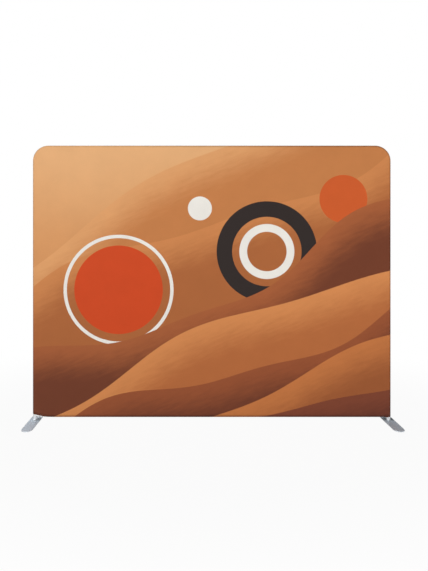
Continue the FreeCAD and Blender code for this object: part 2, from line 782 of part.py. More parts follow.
def front_panel():
    """Printed front: flat sheet, rolled round the side and top tubes and under the bottom rail."""
    body = new_body("front_panel")
    flat = new_sketch(body, "XZ_Plane", "0", "0", "fabric_inner")
    add_outline(flat, cover_edge() + [
        Corner("roll_half", "fabric_bottom"),
        Corner("roll_half", "bottom_level"),
        Corner("-roll_half", "bottom_level"),
        Corner("-roll_half", "fabric_bottom"),
    ])
    pad(body, flat, "fabric_thickness")
    edge_roll(body, True)
    under = new_sketch(body, "YZ_Plane", "0", "bottom_level")
    rise = "strip_top - bottom_level"
    add_outline(under, [
        Corner("-fabric_outer", "0", ("0", "0"), 1),
        Corner("fabric_outer", "0"),
        Corner("fabric_outer", rise),
        Corner("fabric_inner", rise),
        Corner("fabric_inner", "0", ("0", "0"), -1),
        Corner("-fabric_inner", "0"),
    ])
    pad(body, under, "2 * roll_half", symmetric=True)
    lift_corners(body, ("left_corner_lift", "left_lift_run"), ("right_corner_lift", "right_lift_run"))
    return body


def back_panel():
    """Plain back: flat sheet rolled round the side and top tubes, open low down for the zip."""
    body = new_body("back_panel")
    flat = new_sketch(body, "XZ_Plane", "0", "0", "-fabric_inner")
    add_outline(flat, cover_edge() + [
        Corner("roll_half", "fabric_bottom"),
        Corner("roll_half", "window_top"),
        Corner("-roll_half", "window_top"),
        Corner("-roll_half", "fabric_bottom"),
    ])
    pad(body, flat, "fabric_thickness", backward=True)
    edge_roll(body, False)
    lift_corners(body, ("back_corner_lift", "back_lift_run"), ("back_corner_lift", "back_lift_run"))
    return body


def strip(label, left, right, low, high, thickness):
    """Flat strip in the plane of the zip, given by its ends, its edges and its thickness."""
    body = new_body(label)
    sketch = new_sketch(body, "XZ_Plane", "0", "zip_height")
    add_box(sketch, left, right, low, high)
    pad(body, sketch, thickness, symmetric=True)
    place(body, "0", "zip_plane")
    return body


def zip_stops():
    """Two small top stops beside the chain's closed end, and one across its other end."""
    top_start = "roll_half - zip_end_margin"
    low_start = "chain_left - zip_clearance - zip_stop_length"
    inner = "zip_half_chain - zip_stop_width"
    spots = [
        ("zip_top_stop_upper", top_start, inner, "zip_half_chain"),
        ("zip_top_stop_lower", top_start, "-zip_half_chain", f"-({inner})"),
        ("zip_bottom_stop", low_start, "-zip_half_chain", "zip_half_chain"),
    ]
    return [
        strip(label, start, f"{start} + zip_stop_length", low, high, "zip_chain_thickness")
        for label, start, low, high in spots
    ]


def zip_slider():
    """Slider: two rimmed plates over the chain, joined by a neck, with a lug for the pull."""
    body = new_body("zip_slider")
    side = "slider_width / 2"
    rim = f"{side} - slider_rim_width"
    outside = "slider_gap + slider_plate"
    reach = "slider_tape_gap / 2"
    plates = new_sketch(body, "YZ_Plane")
    for sign in ("", "-"):
        add_polygon(plates, [
            (f"{sign}({outside})", f"-({side})"),
            (f"{sign}({outside})", side),
            (f"{sign}({reach})", side),
            (f"{sign}({reach})", rim),
            (f"{sign}(slider_gap)", rim),
            (f"{sign}(slider_gap)", f"-({rim})"),
            (f"{sign}({reach})", f"-({rim})"),
            (f"{sign}({reach})", f"-({side})"),
        ])
    pad(body, plates, "slider_length", symmetric=True)
    neck = new_sketch(body, "XZ_Plane")
    add_box(neck, "slider_neck_start", "slider_neck_start + slider_neck_length",
            "-slider_neck_width / 2", "slider_neck_width / 2")
    pad(body, neck, f"2 * ({outside})", symmetric=True)
    lug = new_sketch(body, "XZ_Plane", "0", "0", f"-({outside})")
    add_box(lug, "-lug_length / 2", "lug_length / 2", "-lug_width / 2", "lug_width / 2")
    pad(body, lug, "lug_height", backward=True)
    high = value(f"{outside} + lug_height")
    fine = value("zip_clearance") / 100
    level = value("lug_width") * 0.9
    round_edges(body, "pull_rod_drop", lambda edge: abs(edge.BoundBox.YMin - high) < fine
                and edge.BoundBox.ZLength > level)
    eye = new_sketch(body, "XY_Plane")
    add_circle(eye, "0", "pull_axis", "pull_rod_diameter / 2 + pull_rod_clearance")
    cut(body, eye, "lug_width + cut_overrun", symmetric=True)
    place(body, "slider_rest", "zip_plane", "zip_height")
    return body


def zip_pull():
    """Pull tab: a flat tab, forked over the lug, with a rod across the fork through the lug's eye."""
    body = new_body("zip_pull")
    rod = new_sketch(body, "XY_Plane")
    add_circle(rod, "0", "0", "pull_rod_diameter / 2")
    pad(body, rod, "pull_width", symmetric=True)
    tab = new_sketch(body, "XZ_Plane")
    half = "pull_width / 2"
    fork = "pull_fork_width / 2"
    add_polygon(tab, [
        ("-pull_length", f"-{half}"),
        ("0", f"-{half}"),
        ("0", f"-{fork}"),
        ("-pull_fork_length", f"-{fork}"),
        ("-pull_fork_length", fork),
        ("0", fork),
        ("0", half),
        ("-pull_length", half),
    ])
    add_circle(tab, "-pull_length + pull_width / 2", "0", "pull_hole_diameter / 2")
    pad(body, tab, "pull_thickness", symmetric=True)
    end = value("-pull_length")
    fine = value("zip_clearance") / 100
    tall = value("pull_thickness") * 0.9
    round_edges(body, "pull_corner_round", lambda edge: abs(edge.BoundBox.XMax - end) < fine
                and edge.BoundBox.YLength > tall)
    place(body, "slider_rest", "zip_plane + pull_axis", "zip_height")
    return body


nodes = [straight_tube(label, tube) for label, tube in TUBES.items()]
nodes.append(corner_bend("left_corner_bend", LEFT))
nodes.append(corner_bend("right_corner_bend", RIGHT))
rivets = []
for label, members in SLEEVES.items():
    sleeves = [joining_sleeve(f"{member}_sleeve", JOINTS[member]) for member in members]
    nodes.append(group(label, sleeves))
    rivets.extend(blind_rivet(f"{member}_rivet", JOINTS[member]) for member in members)
nodes.append(group("sleeve_rivets", rivets))
nodes.extend(rail_stub(label, JOINTS[member]) for label, member in STUBS.items())
nodes.extend(snap_button(f"{member}_button", joint) for member, joint in JOINTS.items())
springs = [button_spring(f"{member}_spring", joint) for member, joint in JOINTS.items()]
nodes.append(group("button_springs", springs))
for word, side in (("left", LEFT), ("right", RIGHT)):
    nodes.append(foot_plate(f"{word}_foot_plate", side))
    nodes.append(foot_pads(f"{word}_foot_pads", side))
    nodes.append(foot_spigot(f"{word}_foot_spigot", side))
nodes.append(group("swivel_washers", [
    swivel_washer("left_swivel_washer", LEFT), swivel_washer("right_swivel_washer", RIGHT)]))
nodes.append(group("foot_screws", [
    foot_screw("left_foot_screw", LEFT), foot_screw("right_foot_screw", RIGHT)]))
nodes.append(front_panel())
nodes.append(back_panel())
tape_far = "zip_half_chain + zip_tape_width"
nodes.append(strip("zip_tape_upper", "-roll_half", "roll_half", "zip_half_chain", tape_far,
                   "zip_tape_thickness"))
nodes.append(strip("zip_tape_lower", "-roll_half", "roll_half", f"-({tape_far})", "-zip_half_chain",
                   "zip_tape_thickness"))
nodes.append(strip("zip_chain", "chain_left", "chain_right", "-zip_half_chain", "zip_half_chain",
                   "zip_chain_thickness"))
nodes.append(group("zip_stops", zip_stops()))
nodes.append(zip_slider())
nodes.append(zip_pull())

doc.recompute()
for part in doc.Objects:
    assert not {"Invalid", "Error"} & set(part.State), part.Label
os.makedirs("parts", exist_ok=True)
for node in nodes:
    assert not node.Shape.isNull() and node.Shape.isValid(), node.Label
    node.Shape.exportStep(f"parts/{node.Label}.step")
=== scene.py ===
"""Dresses the tubular display backdrop: stretch cover, zip, tubes and feet, with a studio and a camera.

All sizes are in metres, in the frame of the solid model: X to the right seen from the front, Y to
the back, Z up, and the floor at zero.
"""

import logging
import math
from dataclasses import dataclass, field
from enum import Enum
from itertools import pairwise
from typing import Any, Callable, Iterable, Optional, Sequence, Union

import bmesh
import bpy
from bpy.types import Material, Mesh, Node, NodeSocket, NodeTree, Object
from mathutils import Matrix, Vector


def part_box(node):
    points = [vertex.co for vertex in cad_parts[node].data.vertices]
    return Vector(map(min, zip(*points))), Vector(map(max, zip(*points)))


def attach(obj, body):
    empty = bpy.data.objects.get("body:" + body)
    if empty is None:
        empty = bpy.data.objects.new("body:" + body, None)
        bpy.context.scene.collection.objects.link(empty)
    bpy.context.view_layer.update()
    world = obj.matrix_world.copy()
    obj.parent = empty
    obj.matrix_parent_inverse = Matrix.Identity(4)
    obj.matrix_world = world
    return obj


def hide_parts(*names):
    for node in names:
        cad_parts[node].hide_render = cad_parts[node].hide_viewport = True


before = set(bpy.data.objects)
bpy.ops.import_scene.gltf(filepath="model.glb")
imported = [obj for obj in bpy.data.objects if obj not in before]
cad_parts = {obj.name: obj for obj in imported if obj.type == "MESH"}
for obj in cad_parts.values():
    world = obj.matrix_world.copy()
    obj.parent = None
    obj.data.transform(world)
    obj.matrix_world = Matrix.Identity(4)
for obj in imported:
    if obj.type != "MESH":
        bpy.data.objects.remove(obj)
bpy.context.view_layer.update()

log = logging.getLogger("backdrop")
Colour = tuple[float, float, float, float]
Triple = tuple[float, float, float]
Pair = tuple[float, float]
Shape = tuple[list[Triple], list[list[int]]]
Inputs = dict[Union[str, int], Any]
QUARTER = math.pi / 2
MERGE_WITHIN = 0.000002
OUT_FRONT = (0.0, -1.0, 0.0)
OUT_BACK = (0.0, 1.0, 0.0)
RAIL_ENDINGS = ("rail_left", "rail_middle", "rail_right")


def ink(*shares: int) -> Colour:
    """Turn a display colour, three shares of 255, into the linear colour that shaders take."""
    parts = [share / 255 for share in shares]
    return (*[p / 12.92 if p <= 0.04045 else ((p + 0.055) / 1.055) ** 2.4 for p in parts], 1.0)


def spaced(start: float, end: float, count: int) -> list[float]:
    """Give count + 1 evenly spaced numbers from start to end."""
    return [start + (end - start) * index / count for index in range(count + 1)]


def round_turn(count: int, start: float = 0.0) -> list[float]:
    """Give evenly spaced angles round a circle."""
    return spaced(start, start + math.tau, count)[:-1]


def eased(share: float) -> float:
    """Ease a share from 0 to 1, level at both ends."""
    share = min(1.0, max(0.0, share))
    return share * share * (3 - 2 * share)


def middle(node: str, axis: int) -> float:
    """Give the middle of a solid along an axis, to a tenth of a millimetre."""
    low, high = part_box(node)
    return round((low[axis] + high[axis]) / 2, 4)


def far_side(node: str, axis: int) -> float:
    """Give how far a solid reaches along an axis, to a tenth of a millimetre."""
    return round(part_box(node)[1][axis], 4)


# Shaders


def add_node(tree: NodeTree, kind: str, settings: dict[str, Any], inputs: Inputs) -> Node:
    """Add a node to a tree.

    Args:
        tree: Tree of shader or geometry nodes.
        kind: Blender's type name of the node.
        settings: Attributes of the node, set before its inputs.
        inputs: Values, or sockets to link, by input name or index.

    Returns:
        The node.
    """
    node = tree.nodes.new(kind)
    for key, value in settings.items():
        setattr(node, key, value)
    for key, value in inputs.items():
        if isinstance(value, NodeSocket):
            tree.links.new(value, node.inputs[key])
        else:
            node.inputs[key].default_value = value
    return node


class Signal:
    """Output socket of a shader node, with arithmetic that adds Math nodes."""

    def __init__(self, nodes: "Nodes", socket: NodeSocket) -> None:
        """Hold a socket and the tree it is in."""
        self.nodes = nodes
        self.socket = socket

    def __add__(self, other: "Number") -> "Signal":
        """Add."""
        return self.nodes.math("ADD", self, other)

    def __sub__(self, other: "Number") -> "Signal":
        """Take away."""
        return self.nodes.math("SUBTRACT", self, other)

    def __rsub__(self, other: float) -> "Signal":
        """Take this away from a number."""
        return self.nodes.math("SUBTRACT", other, self)

    def __mul__(self, other: "Number") -> "Signal":
        """Multiply."""
        return self.nodes.math("MULTIPLY", self, other)

    def __abs__(self) -> "Signal":
        """Drop the sign."""
        return self.nodes.math("ABSOLUTE", self)

    def sway(self, share: float) -> "Signal":
        """Give how far this noise is from its mean of a half, times a share."""
        return (self - 0.5) * share

    __radd__ = __add__


Number = Union[Signal, float]


class Nodes:
    """Shader node tree, written as sums on signals, with the place that it shades as x, y and z."""

    def __init__(self, tree: NodeTree, kind: str) -> None:
        """Take over a tree and empty it.

        Args:
            tree: Tree of a material or of the world.
            kind: Coordinates of its place: Object, UV or Generated.
        """
        self.tree = tree
        self.tree.nodes.clear()
        self.here = self.add("TexCoord", {}, {}, kind)
        self.x, self.y, self.z = (self.add("SeparateXYZ", {}, {0: self.here}, axis) for axis in "XYZ")

    def add(self, kind: str, settings: dict[str, Any], inputs: Inputs, output: Union[str, int] = 0) -> Signal:
        """Add a shader node that is fed with values or signals, and give one of its outputs."""
        fed = {key: value.socket if isinstance(value, Signal) else value for key, value in inputs.items()}
        return Signal(self, add_node(self.tree, f"ShaderNode{kind}", settings, fed).outputs[output])

    def math(self, operation: str, *values: Number) -> Signal:
        """Add a Math node on up to three values."""
        return self.add("Math", {"operation": operation}, dict(enumerate(values)))

    def hypot(self, first: Signal, second: Signal) -> Signal:
        """Give the length of a line from its reach in two directions."""
        return self.math("SQRT", first * first + second * second)

    def wave(self, angle: Signal) -> Signal:
        """Give a wave from 0 to 1."""
        return self.math("SINE", angle) * 0.5 + 0.5

    def step(self, value: Number, low: float, high: float) -> Signal:
        """Ease from 0 at low to 1 at high."""
        return self.add("MapRange", {"interpolation_type": "SMOOTHSTEP"},
                        {"Value": value, "From Min": low, "From Max": high})

    def blend(self, share: Number, first: Any, second: Any) -> Signal:
        """Mix two colours or signals: a share of 0 gives the first and 1 the second."""
        return self.add("Mix", {"data_type": "RGBA"}, {"Factor": share, 6: first, 7: second}, 2)

    def shade(self, colour: Union[Signal, Colour], share: Number) -> Signal:
        """Multiply a colour by a number."""
        colour = colour if isinstance(colour, Signal) else colour[:3]
        return self.add("VectorMath", {"operation": "SCALE"}, {0: colour, "Scale": share})

    def ray(self, kind: str) -> Signal:
        """Give 1 on rays of a kind, such as Camera or Glossy, and 0 on others."""
        return self.add("LightPath", {}, {}, f"Is {kind} Ray")

    def noise(self, scale: float, detail: float, rough: float, spot: Optional[Signal] = None) -> Signal:
        """Give smooth noise from 0 to 1 about a spot, or about the place itself."""
        return self.add("TexNoise", {"noise_dimensions": "3D"},
                        {"Vector": spot or self.here, "Scale": scale, "Detail": detail, "Roughness": rough})

    def spot(self, x: Number, y: Number, z: Number) -> Signal:
        """Join three numbers into a point."""
        return self.add("CombineXYZ", {}, {"X": x, "Y": y, "Z": z})

    def streaks(self, scales: Triple, detail: float, rough: float) -> Signal:
        """Give noise about the place that is drawn out, by a scale for each axis."""
        drawn = [axis * scale for axis, scale in zip((self.x, self.y, self.z), scales)]
        return self.noise(1.0, detail, rough, self.spot(*drawn))


class Paint(Nodes):
    """Material under construction."""

    def __init__(self, name: str, kind: str = "Object") -> None:
        """Start an empty material.

        Args:
            name: Name of the material.
            kind: Coordinates of the place that it shades.
        """
        self.material = bpy.data.materials.new(name)
        self.material.use_nodes = True
        super().__init__(self.material.node_tree, kind)

    def bump(self, height: Signal, distance: float, strength: float) -> Signal:
        """Give the normal of a surface that is raised by a height signal times a distance."""
        return self.add("Bump", {}, {"Height": height, "Distance": distance, "Strength": strength})

    def surface(self, **sockets: Any) -> Signal:
        """Add the Principled shader, with its sockets named with underscores for spaces."""
        named = {key.replace("_", " "): value for key, value in sockets.items()}
        return self.add("BsdfPrincipled", {}, named)

    def close(self, shader: Signal) -> Material:
        """Join a shader to the material's output and give the material."""
        add_node(self.tree, "ShaderNodeOutputMaterial", {}, {"Surface": shader.socket})
        return self.material


class Grain(Enum):
    """Way that the drawing lines of a metal piece run, as the scale of their noise along each axis."""

    ALONG_X = (5.0, 420.0, 420.0)
    ALONG_Z = (420.0, 420.0, 5.0)
    EVEN = (160.0, 160.0, 160.0)


@dataclass(frozen=True)
class Metal:
    """Bare or plated metal with drawing lines, faint stains and small scuffs."""

    name: str
    colour: Colour
    rough: float
    grain: Grain = Grain.EVEN
    contrast: float = 0.10
    depth: float = 0.00004
    metallic: float = 1.0

    def build(self) -> Material:
        """Make the material.

        Returns:
            The material, ready to use.
        """
        paint = Paint(self.name)
        lines = paint.streaks(self.grain.value, 3.0, 0.6)
        stains = paint.noise(14.0, 4.0, 0.6)
        scuffs = paint.step(paint.noise(95.0, 3.0, 0.7), 0.62, 0.74)
        tone = 1.0 + lines.sway(self.contrast) + stains.sway(self.contrast * 0.6) - scuffs * 0.05
        return paint.close(paint.surface(
            Base_Color=paint.shade(self.colour, tone),
            Metallic=self.metallic,
            Roughness=lines.sway(0.10) + stains.sway(0.12) + scuffs * 0.08 + self.rough,
            Normal=paint.bump(lines, self.depth, 0.6)))


@dataclass(frozen=True)
class FootCoat:
    """Silver-grey satin coat on the foot plates, bright along the worn rim, with a painted shadow under the
    panel.
    """

    name: str
    colour: Colour
    worn: Colour
    post_x: float = middle("right_foot_plate", 0)
    length: float = 0.450
    end_radius: float = 0.045
    rim_wear_and_shade_start: float = 0.0026
    rim_wear_and_shade_full: float = 0.0004
    painted_shade_y: float = 0.008
    painted_shade_full: float = 0.018
    painted_shade_end: float = 0.036
    unshaded_side: float = 0.010
    shaded_side: float = 0.006
    depth: float = 0.00005

    def build(self) -> Material:
        """Make the material.

        Returns:
            The material, ready to use.
        """
        paint = Paint(self.name)
        x, y = paint.x, paint.y
        brush = paint.streaks((520.0, 9.0, 520.0), 3.0, 0.65)
        patch = paint.noise(11.0, 4.0, 0.6)
        speck = paint.noise(900.0, 2.0, 0.6)
        scuff = paint.step(paint.streaks((60.0, 22.0, 60.0), 4.0, 0.7), 0.64, 0.72)
        beyond = paint.math("MAXIMUM", abs(y) - (self.length / 2 - self.end_radius), 0.0)
        reach = paint.hypot(abs(x) - self.post_x, beyond) + patch.sway(0.004)
        rim = paint.step(reach, self.end_radius - self.rim_wear_and_shade_start, self.end_radius - self.rim_wear_and_shade_full)
        # Painted shadow: a dark band across each plate under the panel, left out on the outer side of the
        # left post.
        painted_shade = paint.step(abs(y - self.painted_shade_y) + patch.sway(0.012), self.painted_shade_end, self.painted_shade_full)
        painted_shade = painted_shade * paint.step(x, -self.post_x - self.unshaded_side, -self.post_x + self.shaded_side)
        tone = 1.0 + brush.sway(0.10) + patch.sway(0.10) + speck.sway(0.06) - scuff * 0.06 - painted_shade * 0.64
        return paint.close(paint.surface(
            Base_Color=paint.blend(rim * 0.55, paint.shade(self.colour, tone), self.worn),
            Metallic=0.35,
            Roughness=brush.sway(0.08) + patch.sway(0.10) - rim * 0.06 + 0.55,
            Normal=paint.bump(brush * 0.5 + speck * 0.5, self.depth, 0.6)))


@dataclass(frozen=True)
class Moulded:
    """Rubber or plastic with a fine moulded grain and a little dust."""

    name: str
    colour: Colour
    dusty: Colour
    rough: float
    dust: float = 0.25
    depth: float = 0.00006

    def build(self) -> Material:
        """Make the material.

        Returns:
            The material, ready to use.
        """
        paint = Paint(self.name)
        grain = paint.noise(1400.0, 2.0, 0.6)
        patch = paint.step(paint.noise(60.0, 4.0, 0.65), 0.45, 0.75)
        return paint.close(paint.surface(
            Base_Color=paint.blend(patch * self.dust, self.colour, self.dusty),
            Roughness=grain.sway(0.16) + patch * 0.08 + self.rough,
            Normal=paint.bump(grain, self.depth, 0.7)))


@dataclass(frozen=True)
class CoverSizes:
    """Sizes of the cover: those that follow the frame are read from its solids."""

    half_span: float = middle("right_lower_upright", 0)
    top_level: float = middle("top_rail_middle", 2)
    bottom_level: float = middle("bottom_rail_middle", 2)
    roll: float = far_side("back_panel", 1)
    zip_half: float = far_side("zip_tape_upper", 0)
    zip_level: float = middle("zip_chain", 2)
    zip_half_opening: float = 0.0055
    bend_radius: float = 0.112
    thickness: float = 0.0008
    side_steps: int = 46
    top_steps: int = 62
    corner_steps: int = 14
    roll_steps: int = 8
    flap_rows: int = 10
    wrap_steps: int = 16
    rise_steps: int = 3
    insets: tuple[float, ...] = (-0.006, -0.016, -0.028, -0.040, -0.058, -0.080)
    seam_tuck: float = 0.0005
    seam_width: float = 0.004
    lift_margin: float = 0.012
    lift_fade: float = 0.16
    slack: float = 0.0007
    slack_reach: float = 0.35
    slack_low: float = 0.01
    wave_x: float = 2.1
    phase_x: float = 0.6
    wave_z: float = 1.7
    phase_z: float = 0.4
    pull_share: float = 0.07
    pull_reach: float = 0.13
    pull_wave: float = 0.034
    pull_start: float = 0.02
    flare_share: float = 0.15
    flare_height: float = 0.02
    hem_bulge: float = 0.0011
    hem_width: float = 0.009
    post_half: float = 0.018
    near: float = 0.0001

    @property
    def hem_level(self) -> float:
        """Lowest level of the cover, under the bottom rail."""
        return self.bottom_level - self.roll

    @property
    def strip_top(self) -> float:
        """Top of the strip that comes up behind the bottom rail to the zip."""
        return self.zip_level - self.zip_half_opening

    @property
    def window_top(self) -> float:
        """Bottom of the back panel, above the zip."""
        return self.zip_level + self.zip_half_opening


@dataclass(frozen=True)
class Knit:
    """Fine warp knit that both faces of the cover share: columns of slanted loops, dull and faintly fuzzy."""

    pitch: float = 0.0011
    depth: float = 0.00012

    def loops(self, paint: Paint) -> Signal:
        """Give the height of the loops, 0 to 1.

        Args:
            paint: Material of a cloth.

        Returns:
            The height.
        """
        turn = math.tau / self.pitch
        column = abs(paint.math("SINE", paint.x * (turn / 2)))
        return column * 0.6 + paint.wave(paint.y * (turn * 1.35) + column * 2.2) * 0.4

    def finish(self, paint: Paint, colour: Signal, loops: Signal, rough: float) -> Material:
        """Finish a material as this knit, with a colour, the height of its loops and a roughness."""
        return paint.close(paint.surface(
            Base_Color=colour, Roughness=loops.sway(0.08) + rough, Sheen_Weight=0.08, Sheen_Roughness=0.45,
            Specular_IOR_Level=0.25, Normal=paint.bump(loops, self.depth, 0.45)))


@dataclass(frozen=True)
class Band:
    """One flowing ribbon of the print: its slant, the place and swell of its edge, and its two colours."""

    slant: float
    level: float
    swell: float
    turn: float
    phase: float
    light: Colour
    dark: Colour

    def lay(self, paint: Paint, under: Signal, ripple: Signal) -> Signal:
        """Lay the band over what is printed so far.

        Args:
            paint: Material of the cloth.
            under: Colour so far.
            ripple: Noise that breaks the band's colour into fine streaks.

        Returns:
            The colour with the band.
        """
        along = paint.x * math.cos(self.slant) + paint.y * math.sin(self.slant)
        across = paint.y * math.cos(self.slant) - paint.x * math.sin(self.slant)
        wave = paint.math("SINE", along * self.turn + self.phase)
        swing = paint.math("SINE", along * (self.turn * 2.3) + self.phase * 1.7)
        below = wave * self.swell + swing * (self.swell * 0.32) + self.level - across
        tint = paint.blend(paint.step(below + ripple.sway(0.16), 0.0, 0.34), self.light, self.dark)
        return paint.blend(paint.step(below, -0.003, 0.003), under, tint)


@dataclass(frozen=True)
class Ring:
    """One round motif of the print: centre, outer and inner radius, and colour."""

    x: float
    y: float
    outer: float
    inner: float
    colour: Colour
    soft: float = 0.002

    def lay(self, paint: Paint, under: Signal) -> Signal:
        """Lay the ring or disc over what is printed so far.

        Args:
            paint: Material of the cloth.
            under: Colour so far.

        Returns:
            The colour with the ring.
        """
        reach = paint.hypot(paint.x - self.x, paint.y - self.y)
        share = paint.step(reach, self.outer + self.soft, self.outer - self.soft)
        if self.inner > 0:
            share = share * paint.step(reach, self.inner - self.soft, self.inner + self.soft)
        return paint.blend(share, under, self.colour)


@dataclass(frozen=True)
class PrintedKnit:
    """Front fabric: a print of flowing bands and rings in warm colours, on a fine warp knit, with painted
    shade along its rolled edges.
    """

    name: str
    fade_high: Colour
    fade_low: Colour
    far_bands: tuple[Band, ...]
    rings: tuple[Ring, ...]
    near_bands: tuple[Band, ...]
    sizes: CoverSizes = CoverSizes()
    knit: Knit = Knit()
    fade_start: float = 1.25
    fade_full: float = 2.35
    soil_and_shade_top: float = 0.060
    soil_and_shade_full: float = 0.048
    rim_wear_and_shade_start: float = -0.006
    rim_wear_and_shade_full: float = 0.014
    rough: float = 0.82

    def build(self) -> Material:
        """Make the material.

        Returns:
            The material, ready to use.
        """
        paint = Paint(self.name, "UV")
        x, y = paint.x, paint.y
        height = y + paint.noise(1.1, 3.0, 0.5).sway(0.5)
        fade = paint.step(height, self.fade_start, self.fade_full)
        colour = paint.blend(fade, self.fade_low, self.fade_high)
        lean = math.tan(self.near_bands[0].slant)
        ripple = paint.noise(1.0, 3.0, 0.6, paint.spot((x + y * lean) * 6.0, (y - x * lean) * 30.0, 0.0))
        for band in self.far_bands:
            colour = band.lay(paint, colour, ripple)
        for ring in self.rings:
            colour = ring.lay(paint, colour)
        for band in self.near_bands:
            colour = band.lay(paint, colour, ripple)
        grain = paint.noise(260.0, 3.0, 0.7)
        cloud = paint.noise(5.0, 5.0, 0.6)
        loops = self.knit.loops(paint)
        # Painted shade: darker low down where the cloth rolls under the bottom rail, and along the roll round
        # the top and side tubes.
        soil_and_shade = paint.step(y, self.soil_and_shade_top, self.soil_and_shade_full) * 0.30 + self._painted_rim_shade(paint) * 0.35
        tone = 1.0 + grain.sway(0.16) + cloud.sway(0.14) + (loops - 0.6) * 0.06 - soil_and_shade
        return self.knit.finish(paint, paint.shade(colour, tone), loops, self.rough)

    def _painted_rim_shade(self, paint: Paint) -> Signal:
        """Give the share of painted shade on the cloth that rolls round the top and side tubes, most to the
        right.

        Args:
            paint: Material of the cloth.

        Returns:
            The share.
        """
        span, bend = self.sizes.half_span, self.sizes.bend_radius
        aside = paint.math("MAXIMUM", abs(paint.x) - (span - bend), 0.0)
        above = paint.math("MAXIMUM", paint.y - (self.sizes.top_level - bend), 0.0)
        # Painted shade is heavier towards the right side.
        right_side_shade_share = paint.step(paint.x, -span, span / 2) * 0.65 + 0.35
        return paint.step(paint.hypot(aside, above) - bend, self.rim_wear_and_shade_start, self.rim_wear_and_shade_full) * right_side_shade_share


@dataclass(frozen=True)
class PlainKnit:
    """White back fabric: a fine warp knit, faintly greyed low down where it is handled."""

    name: str
    colour: Colour
    soiled: Colour
    knit: Knit = Knit()
    soil_and_shade_top: float = 0.24
    soil_and_shade_full: float = 0.02
    rough: float = 0.84

    def build(self) -> Material:
        """Make the material.

        Returns:
            The material, ready to use.
        """
        paint = Paint(self.name, "UV")
        loops = self.knit.loops(paint)
        cloud = paint.noise(3.5, 5.0, 0.6)
        soil_and_shade = paint.step(paint.y + cloud.sway(0.25), self.soil_and_shade_top, self.soil_and_shade_full) * 0.2
        tone = 1.0 + cloud.sway(0.05) + (loops - 0.6) * 0.06
        colour = paint.shade(paint.blend(soil_and_shade, self.colour, self.soiled), tone)
        return self.knit.finish(paint, colour, loops, self.rough)


@dataclass(frozen=True)
class WovenTape:
    """Zip tape: a tight herringbone weave."""

    name: str
    colour: Colour
    shadow: Colour
    rib: float = 0.0009
    herringbone: float = 0.0022
    depth: float = 0.00012

    def build(self) -> Material:
        """Make the material.

        Returns:
            The material, ready to use.
        """
        paint = Paint(self.name)
        slant = paint.math("PINGPONG", paint.z, self.herringbone)
        ribs = paint.wave((paint.x + slant) * (math.tau / self.rib))
        tone = 0.94 + paint.noise(40.0, 3.0, 0.6) * 0.12
        return paint.close(paint.surface(
            Base_Color=paint.shade(paint.blend(ribs * 0.8, self.shadow, self.colour), tone),
            Roughness=0.86 - ribs * 0.08,
            Sheen_Weight=0.05,
            Normal=paint.bump(ribs, self.depth, 0.6)))


@dataclass(frozen=True)
class Filament:
    """Sewing thread or nylon coil: smooth filament with a faint twist."""

    name: str
    colour: Colour
    rough: float
    lay: float = 0.0007

    def build(self) -> Material:
        """Make the material.

        Returns:
            The material, ready to use.
        """
        paint = Paint(self.name)
        twist = paint.wave((paint.x + paint.y + paint.z) * (math.tau / self.lay))
        tone = 0.92 + twist * 0.06 + paint.noise(30.0, 2.0, 0.5) * 0.08
        return paint.close(paint.surface(
            Base_Color=paint.shade(self.colour, tone), Roughness=twist * 0.08 + self.rough))


# Meshes


def dressed(mesh: Mesh, material: Material) -> Mesh:
    """Give a mesh one finish and smooth shading.

    Args:
        mesh: Mesh to dress.
        material: Finish.

    Returns:
        The same mesh.
    """
    mesh.materials.clear()
    mesh.materials.append(material)
    mesh.polygons.foreach_set("use_smooth", [True] * len(mesh.polygons))
    return mesh


def shown(name: str, data: Any) -> Object:
    """Put an object with a name and its data into the scene, at the origin.

    Args:
        name: Name of the object.
        data: Mesh, curve, lamp or camera.

    Returns:
        The object.
    """
    made = bpy.data.objects.new(name, data)
    bpy.context.scene.collection.objects.link(made)
    return made


def new_piece(name: str, points: Sequence[Triple], faces: Sequence[Sequence[int]], material: Material,
              flat: Optional[Sequence[Pair]] = None) -> Object:
    """Make a smooth mesh object at the origin.

    Args:
        name: Name of the object.
        points: Vertices.
        faces: Vertex numbers of each face.
        material: Finish.
        flat: Place of each vertex on the flat cloth, which becomes the UV map.

    Returns:
        The object.
    """
    mesh = bpy.data.meshes.new(name)
    mesh.from_pydata(points, [], faces)
    if flat is not None:
        layer = mesh.uv_layers.new(name="cut")
        for loop in mesh.loops:
            layer.data[loop.index].uv = flat[loop.vertex_index]
    dressed(mesh, material).update()
    return shown(name, mesh)


def baked(piece: Object, material: Material) -> Object:
    """Turn a piece's modifiers into plain mesh.

    Args:
        piece: Object with modifiers.
        material: Finish that the plain mesh keeps.

    Returns:
        The same object.
    """
    graph = bpy.context.evaluated_depsgraph_get()
    mesh = bpy.data.meshes.new_from_object(piece.evaluated_get(graph))
    mesh.name = piece.name
    piece.modifiers.clear()
    piece.data = dressed(mesh, material)
    return piece


def ringed(rings: Sequence[Sequence[Triple]]) -> Shape:
    """Join like rings of points into a closed tube with capped ends.

    Args:
        rings: Rings in order, each with the same number of points.

    Returns:
        Points and faces.
    """
    size = len(rings[0])
    numbers = [list(range(row * size, (row + 1) * size)) for row in range(len(rings))]
    faces = [[before[index], before[(index + 1) % size], after[(index + 1) % size], after[index]]
             for before, after in pairwise(numbers) for index in range(size)]
    return [point for ring in rings for point in ring], faces + [numbers[0][::-1], numbers[-1]]


